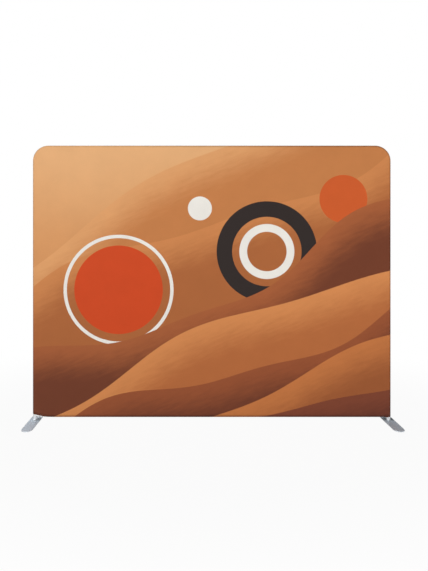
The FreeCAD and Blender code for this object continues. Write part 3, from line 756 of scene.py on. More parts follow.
def cleaned(piece: Object, join_angle: float = 0.0) -> Object:
    """Merge a piece's doubled points and turn its faces outward.

    Args:
        piece: Object to clean.
        join_angle: Angle within which neighbouring faces are joined first, if above zero.

    Returns:
        The same object.
    """
    work = bmesh.new()
    work.from_mesh(piece.data)
    bmesh.ops.remove_doubles(work, verts=work.verts, dist=MERGE_WITHIN)
    if join_angle > 0:
        bmesh.ops.dissolve_limit(work, angle_limit=join_angle, verts=work.verts, edges=work.edges)
    bmesh.ops.recalc_face_normals(work, faces=work.faces)
    work.to_mesh(piece.data)
    work.free()
    return piece


def enlist(piece: Object, node: Optional[str] = None, body: str = "frame") -> Object:
    """Hide the solid that a finished piece stands for, and attach the piece to its body.

    Args:
        piece: Finished piece.
        node: Solid that it stands for, if any.
        body: Body that it moves with.

    Returns:
        The same piece.
    """
    if node is not None:
        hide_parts(node)
    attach(piece, body)
    return piece


class Row:
    """Geometry Nodes tree that sets a small shape along paths at a steady pitch.

    The shape's X follows the path and its Y points the way that is given as outward.
    """

    KINDS = {"Path": "Object", "Shape": "Object", "Pitch": "Float", "Outward": "Vector",
             "Smallest": "Float", "Largest": "Float", "Seed": "Int", "Finish": "Material"}
    SEED = 7

    def __init__(self) -> None:
        """Build the tree with its named inputs."""
        self.tree = bpy.data.node_groups.new("shape_row", "GeometryNodeTree")
        self._socket("Geometry", "Geometry", "INPUT")
        self.sockets = {name: self._socket(name, kind, "INPUT") for name, kind in self.KINDS.items()}
        self._socket("Geometry", "Geometry", "OUTPUT")
        source = self.tree.nodes.new("NodeGroupInput").outputs
        original = {"transform_space": "ORIGINAL"}
        path = self._add("GeometryNodeObjectInfo", original, {"Object": source["Path"]})
        shape = self._add("GeometryNodeObjectInfo", original, {"Object": source["Shape"]})
        points = self._add("GeometryNodeCurveToPoints", {"mode": "LENGTH"},
                           {"Curve": path["Geometry"], "Length": source["Pitch"]})
        size = self._add("FunctionNodeRandomValue", {"data_type": "FLOAT"},
                         {2: source["Smallest"], 3: source["Largest"], "Seed": source["Seed"]})
        turn = self._add("FunctionNodeAxesToRotation", {"primary_axis": "X", "secondary_axis": "Y"},
                         {"Primary Axis": points["Tangent"], "Secondary Axis": source["Outward"]})
        copies = self._add("GeometryNodeInstanceOnPoints", {},
                           {"Points": points["Points"], "Instance": shape["Geometry"],
                            "Rotation": turn["Rotation"], "Scale": size[1]})
        solid = self._add("GeometryNodeRealizeInstances", {}, {"Geometry": copies["Instances"]})
        finished = self._add("GeometryNodeSetMaterial", {},
                             {"Geometry": solid["Geometry"], "Material": source["Finish"]})
        self._add("NodeGroupOutput", {}, {"Geometry": finished["Geometry"]})

    def _socket(self, name: str, kind: str, way: str) -> str:
        """Add a socket to the tree's outside and return its identifier."""
        made = self.tree.interface.new_socket(name, in_out=way, socket_type=f"NodeSocket{kind}")
        return made.identifier

    def _add(self, kind: str, settings: dict[str, Any], inputs: Inputs) -> bpy.types.bpy_prop_collection:
        """Add a node to the tree and return its outputs."""
        return add_node(self.tree, kind, settings, inputs).outputs

    def lay(self, name: str, paths: Iterable[Sequence[Triple]], shape: Shape, pitch: float, outward: Triple,
            material: Material, wobble: float = 0.0) -> Object:
        """Lay copies of a shape along paths.

        Args:
            name: Name of the finished piece.
            paths: Lines of points.
            shape: Points and faces of the shape.
            pitch: Distance between copies.
            outward: Direction that the shape's Y takes.
            material: Finish.
            wobble: Share by which the copies differ in size.

        Returns:
            The piece, as plain mesh.
        """
        curve = bpy.data.curves.new(f"{name}_path", "CURVE")
        curve.dimensions = "3D"
        for path in paths:
            spline = curve.splines.new("POLY")
            spline.points.add(len(path) - 1)
            for point, spot in zip(spline.points, path):
                point.co = (*spot, 1.0)
        line = shown(f"{name}_path", curve)
        single = cleaned(new_piece(f"{name}_shape", *shape, material))
        piece = new_piece(name, [], [], material)
        rows = piece.modifiers.new("rows", "NODES")
        rows.node_group = self.tree
        values = {"Path": line, "Shape": single, "Pitch": pitch, "Outward": outward, "Smallest": 1 - wobble,
                  "Largest": 1 + wobble, "Seed": self.SEED, "Finish": material}
        for key, value in values.items():
            rows[self.sockets[key]] = value
        baked(piece, material)
        bpy.data.objects.remove(single)
        bpy.data.objects.remove(line)
        return piece


@dataclass(frozen=True)
class Stitch:
    """One stitch of a seam: a short bowed strand along X that dips into the cloth at its ends.

    Each section gives its place along the stitch, in lengths, and its height and radius, in thicknesses.
    """

    length: float = 0.0026
    thick: float = 0.00045
    pitch: float = 0.0034
    wobble: float = 0.08
    twist: float = 0.6
    sides: int = 4
    sections: tuple[Triple, ...] = ((-0.5, -0.46, 0.4), (-0.3, 0.5, 0.5), (0.3, 0.5, 0.5), (0.5, -0.46, 0.4))

    def shape(self) -> Shape:
        """Make the strand's points and faces."""
        return ringed([[(along * self.length, (bow + size * math.sin(turn)) * self.thick,
                         size * math.cos(turn) * self.thick) for turn in round_turn(self.sides, self.twist)]
                       for along, bow, size in self.sections])

    def sew(self, rows: Row, name: str, lines: Iterable[Sequence[Triple]], outward: Triple, material: Material
            ) -> Object:
        """Make a piece of stitches along lines, on the side that faces outward."""
        return rows.lay(name, lines, self.shape(), self.pitch, outward, material, self.wobble)


# The cover


class Side(Enum):
    """Face of the frame that a panel covers: the sign of its Y."""

    FRONT = -1
    BACK = 1


@dataclass(frozen=True)
class CornerLift:
    """How a bottom corner of a panel rides up: where the rise starts, its length and its height."""

    start: float
    run: float
    height: float
    power: float = 1.15

    def edge(self, x: float, hem: float) -> float:
        """Give the level of the panel's edge at x, which is counted outward from the middle."""
        share = min(1.0, max(0.0, (x - self.start) / self.run))
        return hem + self.height * share ** self.power


@dataclass(frozen=True)
class Station:
    """Place on the tubes' middle line: its point, the way outward, and the vertex that its row ends at."""

    x: float
    z: float
    out_x: float
    out_z: float
    inner: int

    def at(self, out: float) -> Pair:
        """Give the point that is a distance outward."""
        return (self.x + self.out_x * out, self.z + self.out_z * out)


@dataclass
class Cloth:
    """Sheet under construction: vertices, each with its place on the flat cloth, and faces."""

    vertices: list[tuple[Triple, Pair]] = field(default_factory=list, init=False)
    faces: list[list[int]] = field(default_factory=list, init=False)

    def add(self, spot: Triple, flat: Pair) -> int:
        """Add a vertex with its place on the flat cloth, and return its number."""
        self.vertices.append((spot, flat))
        return len(self.vertices) - 1

    def thickened(self, name: str, thickness: float, offset: float, material: Material) -> Object:
        """Make the object.

        Args:
            name: Name of the piece.
            thickness: Thickness of the cloth.
            offset: Side that the thickness lies on: -1 behind the faces, 1 before them.
            material: Finish.

        Returns:
            The piece.
        """
        points, flat = zip(*self.vertices)
        made = new_piece(name, points, self.faces, material, flat)
        wall = made.modifiers.new("thickness", "SOLIDIFY")
        wall.thickness = thickness
        wall.offset = offset
        return baked(made, material)


@dataclass
class Panel(Cloth):
    """One face of the cover: flat middle, roll round the side and top tubes, and loose bottom corners."""

    sizes: CoverSizes
    side: Side
    low_level: float
    left: CornerLift
    right: CornerLift
    border: list[int] = field(default_factory=list, init=False)

    def lift(self, x: float) -> CornerLift:
        """Give the lift of the corner on x's side."""
        return self.left if x < 0 else self.right

    def edge(self, x: float) -> float:
        """Give the level of the bottom edge at x."""
        return self.lift(x).edge(abs(x), self.sizes.hem_level)

    def settle(self, x: float, y: float, z: float) -> Triple:
        """Ease a point of the taut sheet: raise it over a lifted corner, and let the flat breathe a little.

        Args:
            x: Place across.
            y: Place front to back.
            z: Height.

        Returns:
            The eased point.
        """
        sizes = self.sizes
        up = z - self.low_level
        rise = max(0.0, self.edge(x) + sizes.lift_margin - self.low_level)
        inside = min(sizes.half_span - abs(x), sizes.top_level - z, up + sizes.slack_low)
        breath = math.sin(sizes.wave_x * x + sizes.phase_x) * math.sin(sizes.wave_z * z + sizes.phase_z)
        breath *= eased(inside / sizes.slack_reach)
        corner = math.hypot(abs(x) - sizes.half_span, up)
        folds = math.exp(-((corner / sizes.pull_reach) ** 2)) * math.sin(corner / sizes.pull_wave) ** 2
        pull = self.lift(x).height * sizes.pull_share * folds * eased(inside / sizes.pull_start)
        return (x, y + self.side.value * (sizes.slack * breath + pull),
                z + rise * (1.0 - eased(up / sizes.lift_fade)))

    def settled(self, spot: Triple, flat: Pair) -> int:
        """Add a vertex at its eased place, and return its number."""
        return self.add(self.settle(*spot), flat)

    def weave(self, strands: Iterable[Sequence[int]]) -> None:
        """Fill in the faces between neighbouring strands, without corners that coincide.

        Args:
            strands: Rows of vertex numbers, in the order that turns the back panel's faces outward.
        """
        for before, after in pairwise(strands):
            for index in range(len(before) - 1):
                corners = [before[index], after[index], after[index + 1], before[index + 1]]
                kept = list(dict.fromkeys(corners))
                if len(kept) > 2:
                    self.faces.append(kept if self.side is Side.BACK else kept[::-1])

    def lay_out(self) -> None:
        """Make the flat middle, the bands that lead in from the edge, and the roll round the tubes."""
        sizes = self.sizes
        span, bend = sizes.half_span, sizes.bend_radius
        levels = spaced(self.low_level, sizes.top_level - bend, sizes.side_steps)
        places = spaced(bend - span, span - bend, sizes.top_steps)
        face = self.side.value * sizes.roll
        grid = [[self.settled((x, face, z), (x, z)) for z in levels] for x in places]
        self.weave(zip(*grid))
        stations = [Station(-span, z, -1.0, 0.0, inner) for z, inner in zip(levels, grid[0])]
        stations += self._corner(-1, grid[0][-1])[::-1]
        stations += [Station(x, sizes.top_level, 0.0, 1.0, column[-1]) for x, column in zip(places, grid)]
        stations += self._corner(1, grid[-1][-1])
        stations += [Station(span, z, 1.0, 0.0, inner) for z, inner in zip(levels[::-1], grid[-1][::-1])]
        rows = [self._edge_row(station) for station in stations]
        self.weave(rows)
        self.border = rows[0] + [column[0] for column in grid[1:-1]] + rows[-1][::-1]

    def _corner(self, sign: int, inner: int) -> list[Station]:
        """Give the stations round a top corner, from the top rail to the upright.

        Args:
            sign: -1 for the left corner, 1 for the right.
            inner: Vertex of the flat middle where their rows end.

        Returns:
            The stations.
        """
        bend = self.sizes.bend_radius
        x, z = sign * (self.sizes.half_span - bend), self.sizes.top_level - bend
        turns = [(sign * math.cos(angle), math.sin(angle))
                 for angle in spaced(QUARTER, 0.0, self.sizes.corner_steps)[1:-1]]
        return [Station(x + cos * bend, z + sin * bend, cos, sin, inner) for cos, sin in turns]

    def _edge_row(self, station: Station) -> list[int]:
        """Make the row of vertices from the side seam, round the tube and in to the flat middle.

        Args:
            station: Where the row crosses the frame's outline.

        Returns:
            The row's vertex numbers, from the seam inward.
        """
        sizes = self.sizes
        face = self.side.value * sizes.roll
        row = []
        for angle in spaced(0.0, QUARTER, sizes.roll_steps):
            tuck = sizes.seam_tuck * (1 - eased(sizes.roll * angle / sizes.seam_width))
            x, z = station.at((sizes.roll - tuck) * math.cos(angle))
            flat = station.at(sizes.roll * (QUARTER - angle))
            row.append(self.settled((x, face * math.sin(angle), z), flat))
        for x, z in map(station.at, sizes.insets):
            row.append(self.settled((x, face, z), (x, z)))
        return row + [station.inner]

    def hang(self, chosen: Callable[[float], bool], strand: Callable[[int], list[int]]) -> None:
        """Hang a run of strands below the bottom border.

        Args:
            chosen: Test of a border vertex's place across.
            strand: Makes the vertices below a border vertex, from the top down.
        """
        run = [number for number in self.border if chosen(self.vertices[number][1][0])]
        self.weave([[number] + strand(number) for number in run])

    def stand_off(self, x: float, above: float) -> float:
        """Give how far the loose flap stands out from the taut face.

        Args:
            x: Place across.
            above: Height above the flap's edge.

        Returns:
            The distance, with the flare of the flap and the roll of its hem.
        """
        sizes, lift = self.sizes, self.lift(x)
        flare = lift.height * sizes.flare_share * max(0.0, 1 - above / sizes.flare_height) ** 2
        bulge = sizes.hem_bulge * math.sin(math.pi * min(1.0, above / sizes.hem_width))
        return eased((abs(x) - lift.start) / lift.run) * (flare + bulge)

    def flap(self, number: int) -> list[int]:
        """Make the loose flap below one border vertex, down to the lifted edge.

        Args:
            number: Border vertex.

        Returns:
            The vertices below it.
        """
        sizes = self.sizes
        (x, y, z), (u, v) = self.vertices[number]
        low, start = self.edge(x), self.lift(x).start
        loose = 1 - eased((abs(x) - start) / (sizes.half_span - sizes.post_half - start))
        made = []
        for share in spaced(0.0, 1.0, sizes.flap_rows)[1:]:
            level = z + (low - z) * share
            under = max(0.0, sizes.bottom_level - level)
            curled = math.sqrt(max(0.0, sizes.roll ** 2 - under ** 2))
            tuck = (sizes.roll - curled) * loose if self.side is Side.FRONT else 0.0
            flare = self.stand_off(x, level - low) * (abs(y) / sizes.roll) ** 2
            made.append(self.add((x, y - self.side.value * (tuck - flare), level),
                                 (u, v + (sizes.hem_level - v) * share)))
        return made

    def wrap(self, number: int) -> list[int]:
        """Make the stretch below one border vertex that goes under the bottom rail and up behind it.

        Args:
            number: Border vertex.

        Returns:
            The vertices below it.
        """
        sizes = self.sizes
        rail, roll = sizes.bottom_level, sizes.roll
        spot, flat = self.vertices[number]
        x, u = spot[0], flat[0]
        made = []
        for angle in spaced(0.0, math.pi, sizes.wrap_steps)[1:]:
            under = (x, -roll * math.cos(angle), rail - roll * math.sin(angle))
            made.append(self.add(under, (u, rail - roll * angle)))
        for level in spaced(rail, sizes.strip_top, sizes.rise_steps)[1:]:
            made.append(self.add((x, roll, level), (u, rail - roll * math.pi - (level - rail))))
        return made

    def piece(self, name: str, material: Material) -> Object:
        """Make the panel's object, with the fabric's thickness inside its outer face."""
        return self.thickened(name, self.sizes.thickness, -1.0, material)


@dataclass
class Cover:
    """Stretch cover: printed front, plain white back, and the hem stitches at its loose corners."""

    sizes: CoverSizes = field(default_factory=CoverSizes)
    left_lift: CornerLift = CornerLift(1.3267, 0.175, 0.035)
    right_lift: CornerLift = CornerLift(1.4429, 0.057, 0.009)
    back_lift: CornerLift = CornerLift(1.4429, 0.057, 0.005)
    hem_height: float = 0.0085
    hem_out: float = 0.0001
    hem_start: float = 0.35
    hem_steps: int = 8

    def front(self, material: Material) -> tuple[Object, Panel]:
        """Build the printed front, which goes under the bottom rail to the zip.

        Args:
            material: Finish.

        Returns:
            The piece and its layout.
        """
        sizes = self.sizes
        near, left, right = sizes.near, self.left_lift.start, self.right_lift.start
        panel = Panel(sizes, Side.FRONT, sizes.bottom_level, self.left_lift, self.right_lift)
        panel.lay_out()
        panel.hang(lambda x: x < near - left, panel.flap)
        panel.hang(lambda x: x > right - near, panel.flap)
        panel.hang(lambda x: -left - near < x < right + near, panel.wrap)
        return enlist(panel.piece("printed_front", material), "front_panel"), panel

    def back(self, material: Material) -> Object:
        """Build the plain back, which is open low down for the zip.

        Args:
            material: Finish.

        Returns:
            The piece.
        """
        sizes = self.sizes
        panel = Panel(sizes, Side.BACK, sizes.window_top, self.back_lift, self.back_lift)
        panel.lay_out()
        for sign in (-1, 1):
            panel.hang(lambda x: sign * x > sizes.zip_half - sizes.near, panel.flap)
        return enlist(panel.piece("plain_back", material), "back_panel")

    def hem(self, rows: Row, layout: Panel, material: Material) -> Object:
        """Build the hem stitches above the lifted bottom corners of the front.

        Args:
            rows: Tree that lays the stitches.
            layout: Layout of the front.
            material: Finish.

        Returns:
            The piece.
        """
        sizes = self.sizes
        lines = []
        for sign, lift in ((-1, self.left_lift), (1, self.right_lift)):
            places = spaced(lift.start + lift.run * self.hem_start, sizes.half_span, self.hem_steps)
            lines.append([(sign * x, -sizes.roll - layout.stand_off(sign * x, self.hem_height) - self.hem_out,
                           lift.edge(x, sizes.hem_level) + self.hem_height) for x in places])
        return enlist(Stitch().sew(rows, "hem_stitches", lines, OUT_FRONT, material))


@dataclass
class CornerTurn(Cloth):
    """White fabric below the lifted print: round the left upright, and under the rail up to the zip."""

    sizes: CoverSizes
    cover_lift: CornerLift
    inner: float = 0.01612
    stitched: float = 0.01672
    thickness: float = 0.00025
    tucked: float = 0.012
    hidden: float = 0.001
    hem_rise: float = 0.0123
    peel: float = 0.022
    overlap: float = 0.004
    rear_ease: float = 1.6
    side_steps: int = 12
    face_steps: int = 8
    wrap_steps: int = 16
    top_rows: int = 3
    quarter_rows: int = 12

    def columns(self) -> list[Triple]:
        """Give the columns from the side seam inward.

        Returns:
            For each, its place across, its distance ahead of the frame's middle and its place on the cloth.
        """
        span, zip_half, inner = self.sizes.half_span, self.sizes.zip_half, self.inner
        end = self.overlap - self.cover_lift.start
        made = [(-span - inner * math.cos(turn), inner * math.sin(turn), -span - inner * (QUARTER - turn))
                for turn in spaced(0.0, QUARTER, self.side_steps)]
        flat = spaced(-span, -zip_half, self.face_steps)[1:] + spaced(-zip_half, end, self.wrap_steps)[1:]
        return made + [(x, inner, x) for x in flat]

    def front_rows(self, x: float, ahead: float) -> list[Pair]:
        """Give a column's points in front of the rail.

        Args:
            x: Place across.
            ahead: Distance ahead of the frame's middle.

        Returns:
            Distance ahead and level of each point, from behind the print down to the loose edge or the
            rail's bottom.
        """
        sizes, rail = self.sizes, self.sizes.bottom_level
        print_edge = max(self.cover_lift.edge(-x, sizes.hem_level), rail - self.tucked)
        free = eased((-sizes.zip_half - x) / self.peel)
        drop = rail - sizes.hem_level - self.hem_rise
        top = print_edge + self.tucked + self.hidden
        points = [(ahead, level) for level in spaced(top, rail, self.top_rows)[:-1]]
        for turn in spaced(0.0, QUARTER, self.quarter_rows):
            forward = ahead * (free + (1 - free) * math.cos(turn))
            under = drop * turn / QUARTER * free + self.inner * math.sin(turn) * (1 - free)
            clear = max(1.0, self.inner / math.hypot(forward, under)) if x >= -sizes.half_span else 1.0
            points.append((forward * clear, rail - under * clear))
        return points

    def rear_rows(self) -> list[Pair]:
        """Give the rest of a column that goes on under the rail and up behind it to the zip.

        Returns:
            Distance ahead and level of each point.
        """
        rail, top = self.sizes.bottom_level, self.sizes.strip_top
        points = [(self.inner * math.cos(turn), rail - self.inner * math.sin(turn))
                  for turn in spaced(QUARTER, math.pi, self.quarter_rows)[1:]]
        for level in spaced(rail, top, self.top_rows * 2)[1:]:
            share = eased((level - rail) / (top - rail) * self.rear_ease)
            points.append((-self.inner - (self.stitched - self.inner) * share, level))
        return points

    def piece(self, material: Material) -> Object:
        """Build the piece.

        Args:
            material: Finish.

        Returns:
            The piece.
        """
        strands: list[list[int]] = []
        for x, ahead, along in self.columns():
            rows = self.front_rows(x, ahead)
            if x > -self.sizes.zip_half - self.sizes.near:
                rows += self.rear_rows()
            down = rows[0][1]
            strand = []
            for before, (forward, level) in zip(rows[:1] + rows, rows):
                down -= math.dist(before, (forward, level))
                strand.append(self.add((x, -forward, level), (along, down)))
            strands.append(strand)
        self.faces += [[first[row], first[row + 1], second[row + 1], second[row]]
                       for first, second in pairwise(strands)
                       for row in range(min(len(first), len(second)) - 1)]
        return enlist(self.thickened("corner_turn", self.thickness, 1.0, material))


# The zip


@dataclass
class Zip:
    """Zip low on the back: two woven tapes, a nylon coil, stops, a slider and its pull tab.

    Each section of a coil turn gives its height, its half width along the zip and its half depth. A tape's
    cord and selvedge give distances from its inner and outer edge, with half the thickness there. Each
    casting gives its solid, the name of the piece and the body that it moves with.
    """

    rows: Row
    height: float = middle("zip_chain", 2)
    plane: float = middle("zip_chain", 1)
    half: float = far_side("zip_tape_upper", 0)
    coil_left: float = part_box("zip_chain")[0][0]
    coil_right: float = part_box("zip_chain")[1][0]
    coil_half: float = 0.0025
    coil_sections: tuple[Triple, ...] = ((0.0026, 0.00034, 0.0007), (0.0012, 0.00042, 0.00105),
                                         (-0.0001, 0.00044, 0.0011), (-0.0008, 0.00030, 0.0007))
    coil_sides: int = 6
    tape_width: float = 0.013
    tape_steps: int = 60
    cord: tuple[Pair, ...] = ((0.0, 0.0002), (0.0004, 0.0006), (0.0012, 0.0006), (0.0018, 0.0003))
    selvedge: tuple[Pair, ...] = ((-0.0006, 0.0003), (0.0, 0.0001))
    pitch: float = 0.0018
    seams: Pair = (0.0075, 0.0115)
    seam_end: float = 0.003
    seam_out: float = 0.0011
    castings: tuple[tuple[str, str, str], ...] = (
        ("zip_slider", "slider_casting", "zip_slider"),
        ("zip_pull", "pull_tab", "zip_pull"),
        ("zip_stops", "stop_crimps", "frame"),
    )
    rounding: float = 0.0003
    rounding_steps: int = 2
    flat_angle: float = math.radians(1.0)
    edge_angle: float = math.radians(50)

    def tape(self, name: str, node: str, sign: int, material: Material) -> Object:
        """Build one tape with a corded inner edge.

        Args:
            name: Name of the piece.
            node: Solid that it stands for.
            sign: 1 for the upper tape, -1 for the lower.
            material: Finish.

        Returns:
            The piece.
        """
        inner, outer = self.coil_half, self.coil_half + self.tape_width
        rear = [(inner + up, deep) for up, deep in self.cord]
        rear += [(outer + up, deep) for up, deep in self.selvedge]
        outline = [(up, -deep) for up, deep in rear] + rear[::-1]
        rings = [[(x, self.plane + deep, self.height + sign * up) for up, deep in outline]
                 for x in spaced(-self.half, self.half, self.tape_steps)]
        return enlist(cleaned(new_piece(name, *ringed(rings), material)), node)

    def coil(self, material: Material) -> Object:
        """Build the closed coil: two rows of turns that lock into each other.

        Args:
            material: Finish.

        Returns:
            The piece.
        """
        rings = [[(wide * math.cos(turn), deep * math.sin(turn), up) for turn in round_turn(self.coil_sides)]
                 for up, wide, deep in self.coil_sections]
        ends = ((self.coil_left + self.pitch / 2, self.coil_right - self.pitch),
                (self.coil_right - self.pitch / 2, self.coil_left + self.pitch))
        lines = [[(x, self.plane, self.height) for x in pair] for pair in ends]
        piece = self.rows.lay("zip_turns", lines, ringed(rings), self.pitch, OUT_BACK, material)
        return enlist(piece, "zip_chain")

    def stitches(self, material: Material) -> Object:
        """Build the four rows of stitches that hold the tapes to the cover.

        Args:
            material: Finish.

        Returns:
            The piece.
        """
        reach = self.half - self.seam_end
        lines = [[(x, self.plane + self.seam_out, self.height + sign * away) for x in (-reach, reach)]
                 for away in self.seams for sign in (-1, 1)]
        return enlist(Stitch().sew(self.rows, "zip_stitches", lines, OUT_BACK, material))

    def cast(self, material: Material) -> list[Object]:
        """Make cast copies of the slider, the pull tab and the stops, with their edges rounded.

        Args:
            material: Finish.

        Returns:
            The pieces.
        """
        made = []
        for node, name, body in self.castings:
            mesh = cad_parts[node].data.copy()
            mesh.name = name
            piece = cleaned(shown(name, mesh), self.flat_angle)
            bevel = piece.modifiers.new("rounding", "BEVEL")
            bevel.width = self.rounding
            bevel.segments = self.rounding_steps
            bevel.limit_method = "ANGLE"
            bevel.angle_limit = self.edge_angle
            made.append(enlist(baked(piece, material), node, body))
        return made


# The frame and the feet


@dataclass(frozen=True)
class FrameDressing:
    """Puts the right finish on each solid of the frame and the feet, by the ending of its name."""

    finishes: tuple[tuple[tuple[str, ...], Union[Metal, FootCoat, Moulded]], ...] = (
        (("_upright", "_post"),
         Metal("upright_aluminium", ink(244, 245, 246), 0.32, Grain.ALONG_Z, metallic=0.55)),
        (RAIL_ENDINGS, Metal("rail_aluminium", ink(222, 224, 226), 0.24, Grain.ALONG_X)),
        (("_bend",), Metal("bend_aluminium", ink(220, 222, 224), 0.27)),
        (("_sleeve", "_sleeves", "_stub"), Metal("sleeve_aluminium", ink(206, 208, 210), 0.36)),
        (("_spigot",), Metal("spigot_aluminium", ink(228, 230, 232), 0.26, Grain.ALONG_Z, metallic=0.6)),
        (("_button",), Metal("button_nickel", ink(214, 213, 210), 0.16, contrast=0.05)),
        (("_rivets",), Metal("rivet_aluminium", ink(200, 201, 203), 0.34)),
        (("_springs",), Metal("spring_steel", ink(160, 161, 164), 0.30)),
        (("_screws",), Metal("screw_zinc", ink(176, 178, 180), 0.30)),
        (("_plate",), FootCoat("foot_coat", ink(210, 221, 232), ink(228, 232, 236))),
        (("_pads",), Moulded("pad_rubber", ink(34, 34, 34), ink(92, 88, 84), 0.78)),
        (("_washers",), Moulded("washer_nylon", ink(228, 226, 218), ink(196, 192, 184), 0.48)),
    )

    def dress(self) -> None:
        """Give every solid that shows as it is its material."""
        for endings, finish in self.finishes:
            material = finish.build()
            for node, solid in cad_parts.items():
                if node.endswith(endings):
                    solid.data.materials.clear()
                    solid.data.materials.append(material)
                    log.info("finish %s on %s", finish.name, node)


# The studio


@dataclass(frozen=True)
class Lamp:
    """Soft rectangular lamp: place, target, size, power and whether metal mirrors it."""

    name: str
    place: Triple
    target: Triple
    wide: float
    high: float
    power: float
    mirrored: bool = True

    def set_up(self) -> None:
        """Put the lamp in the scene."""
        light = bpy.data.lights.new(self.name, "AREA")
        light.shape = "RECTANGLE"
        light.size = self.wide
        light.size_y = self.high
        light.energy = self.power
        lamp = shown(self.name, light)
        lamp.location = self.place
        lamp.visible_glossy = self.mirrored
        lamp.rotation_euler = (Vector(self.target) - Vector(self.place)).to_track_quat("-Z", "Y").to_euler()


@dataclass(frozen=True)
class Studio:
    """White studio: floor, soft lamps, surroundings and the camera of the photograph."""

    lamps: tuple[Lamp, ...] = (
        Lamp("key", (-4.0, -5.0, 3.8), (0.0, 0.0, 1.1), 4.0, 3.0, 222.0),
        Lamp("fill", (3.6, -6.0, 1.5), (0.0, 0.0, 1.1), 4.0, 2.4, 238.0, False),
        Lamp("rear", (0.5, 9.0, 0.6), (0.0, 0.0, 1.1), 5.0, 1.0, 690.0, False),
    )
    surround: float = 0.25
    rear_edge: Pair = (-0.2, 0.2)
    rear_dimming: float = 0.8
    card_edge: Pair = (-0.30, 0.50)
    card_dimming: float = 0.90
    low_edge: Pair = (0.0, 0.34)
    low_dimming: float = 0.4
    floor_half: float = 40.0
    floor_grey: Colour = (0.35, 0.35, 0.35, 1.0)
    shadow_edge: Pair = (0.9, 2.6)
    shadow_aspect: float = 0.4
    shadow_share: float = 0.05
    painted_shadow_edge: Pair = (0.015, 0.06)
    painted_shadow_level: float = 0.15
    eye: Triple = (-0.19, -3.69, 1.575)
    lens: float = 27.7
    sensor: float = 36.0
    shift: Pair = (0.0436, -0.092)
    view_end: float = 200.0

    def world(self) -> None:
        """Make the surroundings: white to the camera, bright and dark in metal, dim elsewhere."""
        world = bpy.data.worlds.new("studio")
        bpy.context.scene.world = world
        world.use_nodes = True
        room = Nodes(world.node_tree, "Generated")
        card = 1.0 - room.step(room.x, *self.card_edge) * self.card_dimming
        low = room.step(room.z, *self.low_edge) * self.low_dimming + (1 - self.low_dimming)
        soft = self.surround - room.step(room.y, *self.rear_edge) * (self.surround * self.rear_dimming)
        seen = room.add("Mix", {}, {0: room.ray("Glossy"), 2: soft, 3: card * low})
        clear = room.math("MAXIMUM", room.ray("Camera"), room.ray("Transmission"))
        level = room.add("Mix", {}, {0: clear, 2: seen, 3: 1.0})
        light = room.add("Background", {}, {"Color": (1.0, 1.0, 1.0, 1.0), "Strength": level})
        add_node(room.tree, "ShaderNodeOutputWorld", {}, {"Surface": light.socket})

    def floor(self) -> None:
        """Lay a wide white floor that still takes the object's shadow, with a painted shadow under the panel
        where metal mirrors it.
        """
        paint = Paint("floor_white")
        dull = paint.surface(Base_Color=self.floor_grey, Roughness=0.9, Specular_IOR_Level=0.0)
        glow = paint.add("Emission", {}, {"Strength": 1.0})
        x, y = paint.x, paint.y
        far = paint.step(paint.math("SQRT", x * x * self.shadow_aspect + y * y), *self.shadow_edge)
        # Painted shadow: metal sees the floor dark in a strip under the panel.
        floor_outside_painted_shadow = paint.step(abs(y), *self.painted_shadow_edge) * (1 - self.painted_shadow_level) + self.painted_shadow_level
        seen = paint.math("MAXIMUM", paint.ray("Camera"), paint.ray("Glossy") * floor_outside_painted_shadow)
        seen = seen * (far * self.shadow_share + (1 - self.shadow_share))
        mixed = paint.add("MixShader", {}, {0: seen, 1: dull, 2: glow})
        half = self.floor_half
        corners = [(-half, -half, 0.0), (half, -half, 0.0), (half, half, 0.0), (-half, half, 0.0)]
        floor = new_piece("floor", corners, [[0, 1, 2, 3]], paint.close(mixed))

    def camera(self) -> None:
        """Set the camera where the photograph was taken from, level and square to the panel."""
        data = bpy.data.cameras.new("camera")
        data.lens = self.lens
        data.sensor_width = self.sensor
        data.shift_x, data.shift_y = self.shift
        data.clip_end = self.view_end
        camera = shown("camera", data)
        camera.location = self.eye
        camera.rotation_euler = (QUARTER, 0.0, 0.0)
        bpy.context.scene.camera = camera

    def set_up(self) -> None:
        """Put everything in place."""
        bpy.context.scene.view_settings.view_transform = "Standard"
        self.world()
        self.floor()
        for lamp in self.lamps:
            lamp.set_up()
        self.camera()


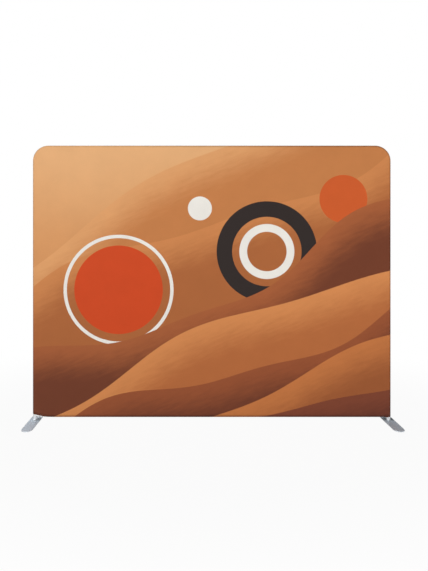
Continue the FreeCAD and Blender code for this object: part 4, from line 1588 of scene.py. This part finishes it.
FRONT_PRINT = PrintedKnit(
    "printed_knit",
    fade_high=ink(228, 174, 122),
    fade_low=ink(214, 150, 96),
    far_bands=(
        Band(0.46, 1.92, 0.12, 1.3, 0.4, ink(222, 160, 106), ink(196, 126, 74)),
        Band(0.42, 1.52, 0.14, 1.6, 2.2, ink(206, 134, 80), ink(172, 102, 58)),
    ),
    rings=(
        Ring(-0.78, 1.10, 0.46, 0.432, ink(238, 234, 226)),
        Ring(-0.78, 1.10, 0.37, 0.0, ink(206, 74, 34)),
        Ring(0.46, 1.42, 0.42, 0.29, ink(48, 40, 38)),
        Ring(0.46, 1.42, 0.23, 0.165, ink(238, 234, 226)),
        Ring(-0.10, 1.78, 0.10, 0.0, ink(238, 234, 226)),
        Ring(1.10, 1.86, 0.20, 0.0, ink(204, 92, 44)),
    ),
    near_bands=(
        Band(0.40, 0.98, 0.15, 1.8, 4.1, ink(166, 94, 56), ink(112, 60, 40)),
        Band(0.38, 0.64, 0.12, 1.5, 0.9, ink(212, 138, 82), ink(180, 106, 60)),
        Band(0.35, 0.34, 0.11, 2.0, 3.0, ink(150, 82, 50), ink(102, 54, 38)),
        Band(0.33, 0.10, 0.09, 1.7, 5.2, ink(194, 118, 66), ink(154, 88, 50)),
        Band(0.31, -0.12, 0.07, 2.2, 1.4, ink(124, 66, 46), ink(84, 44, 36)),
    ),
)
WHITE_KNIT = PlainKnit("white_knit", ink(245, 245, 243), ink(212, 209, 204))
TAPE = WovenTape("zip_weave", ink(231, 231, 229), ink(206, 206, 203))
COIL = Filament("zip_nylon", ink(226, 226, 223), 0.34)
THREAD = Filament("sewing_thread", ink(229, 228, 224), 0.55)
HEM_THREAD = Filament("hem_thread", ink(96, 58, 44), 0.55)
ZIP_METAL = Metal("zip_nickel", ink(212, 211, 208), 0.18, contrast=0.06)


def main() -> None:
    """Build every piece in order and report it."""
    logging.basicConfig(level=logging.INFO, format="%(message)s")
    FrameDressing().dress()
    rows = Row()
    cover = Cover()
    front, layout = cover.front(FRONT_PRINT.build())
    plain = WHITE_KNIT.build()
    back = cover.back(plain)
    turned = CornerTurn(cover.sizes, cover.left_lift).piece(plain)
    hem = cover.hem(rows, layout, HEM_THREAD.build())
    zipper = Zip(rows)
    weave = TAPE.build()
    upper = zipper.tape("upper_tape", "zip_tape_upper", 1, weave)
    lower = zipper.tape("lower_tape", "zip_tape_lower", -1, weave)
    coil = zipper.coil(COIL.build())
    stitches = zipper.stitches(THREAD.build())
    castings = zipper.cast(ZIP_METAL.build())
    for piece in (front, back, turned, hem, upper, lower, coil, stitches, *castings):
        log.info("piece %s, %d faces", piece.name, len(piece.data.polygons))
    Studio().set_up()


if __name__ == "__main__":
    main()
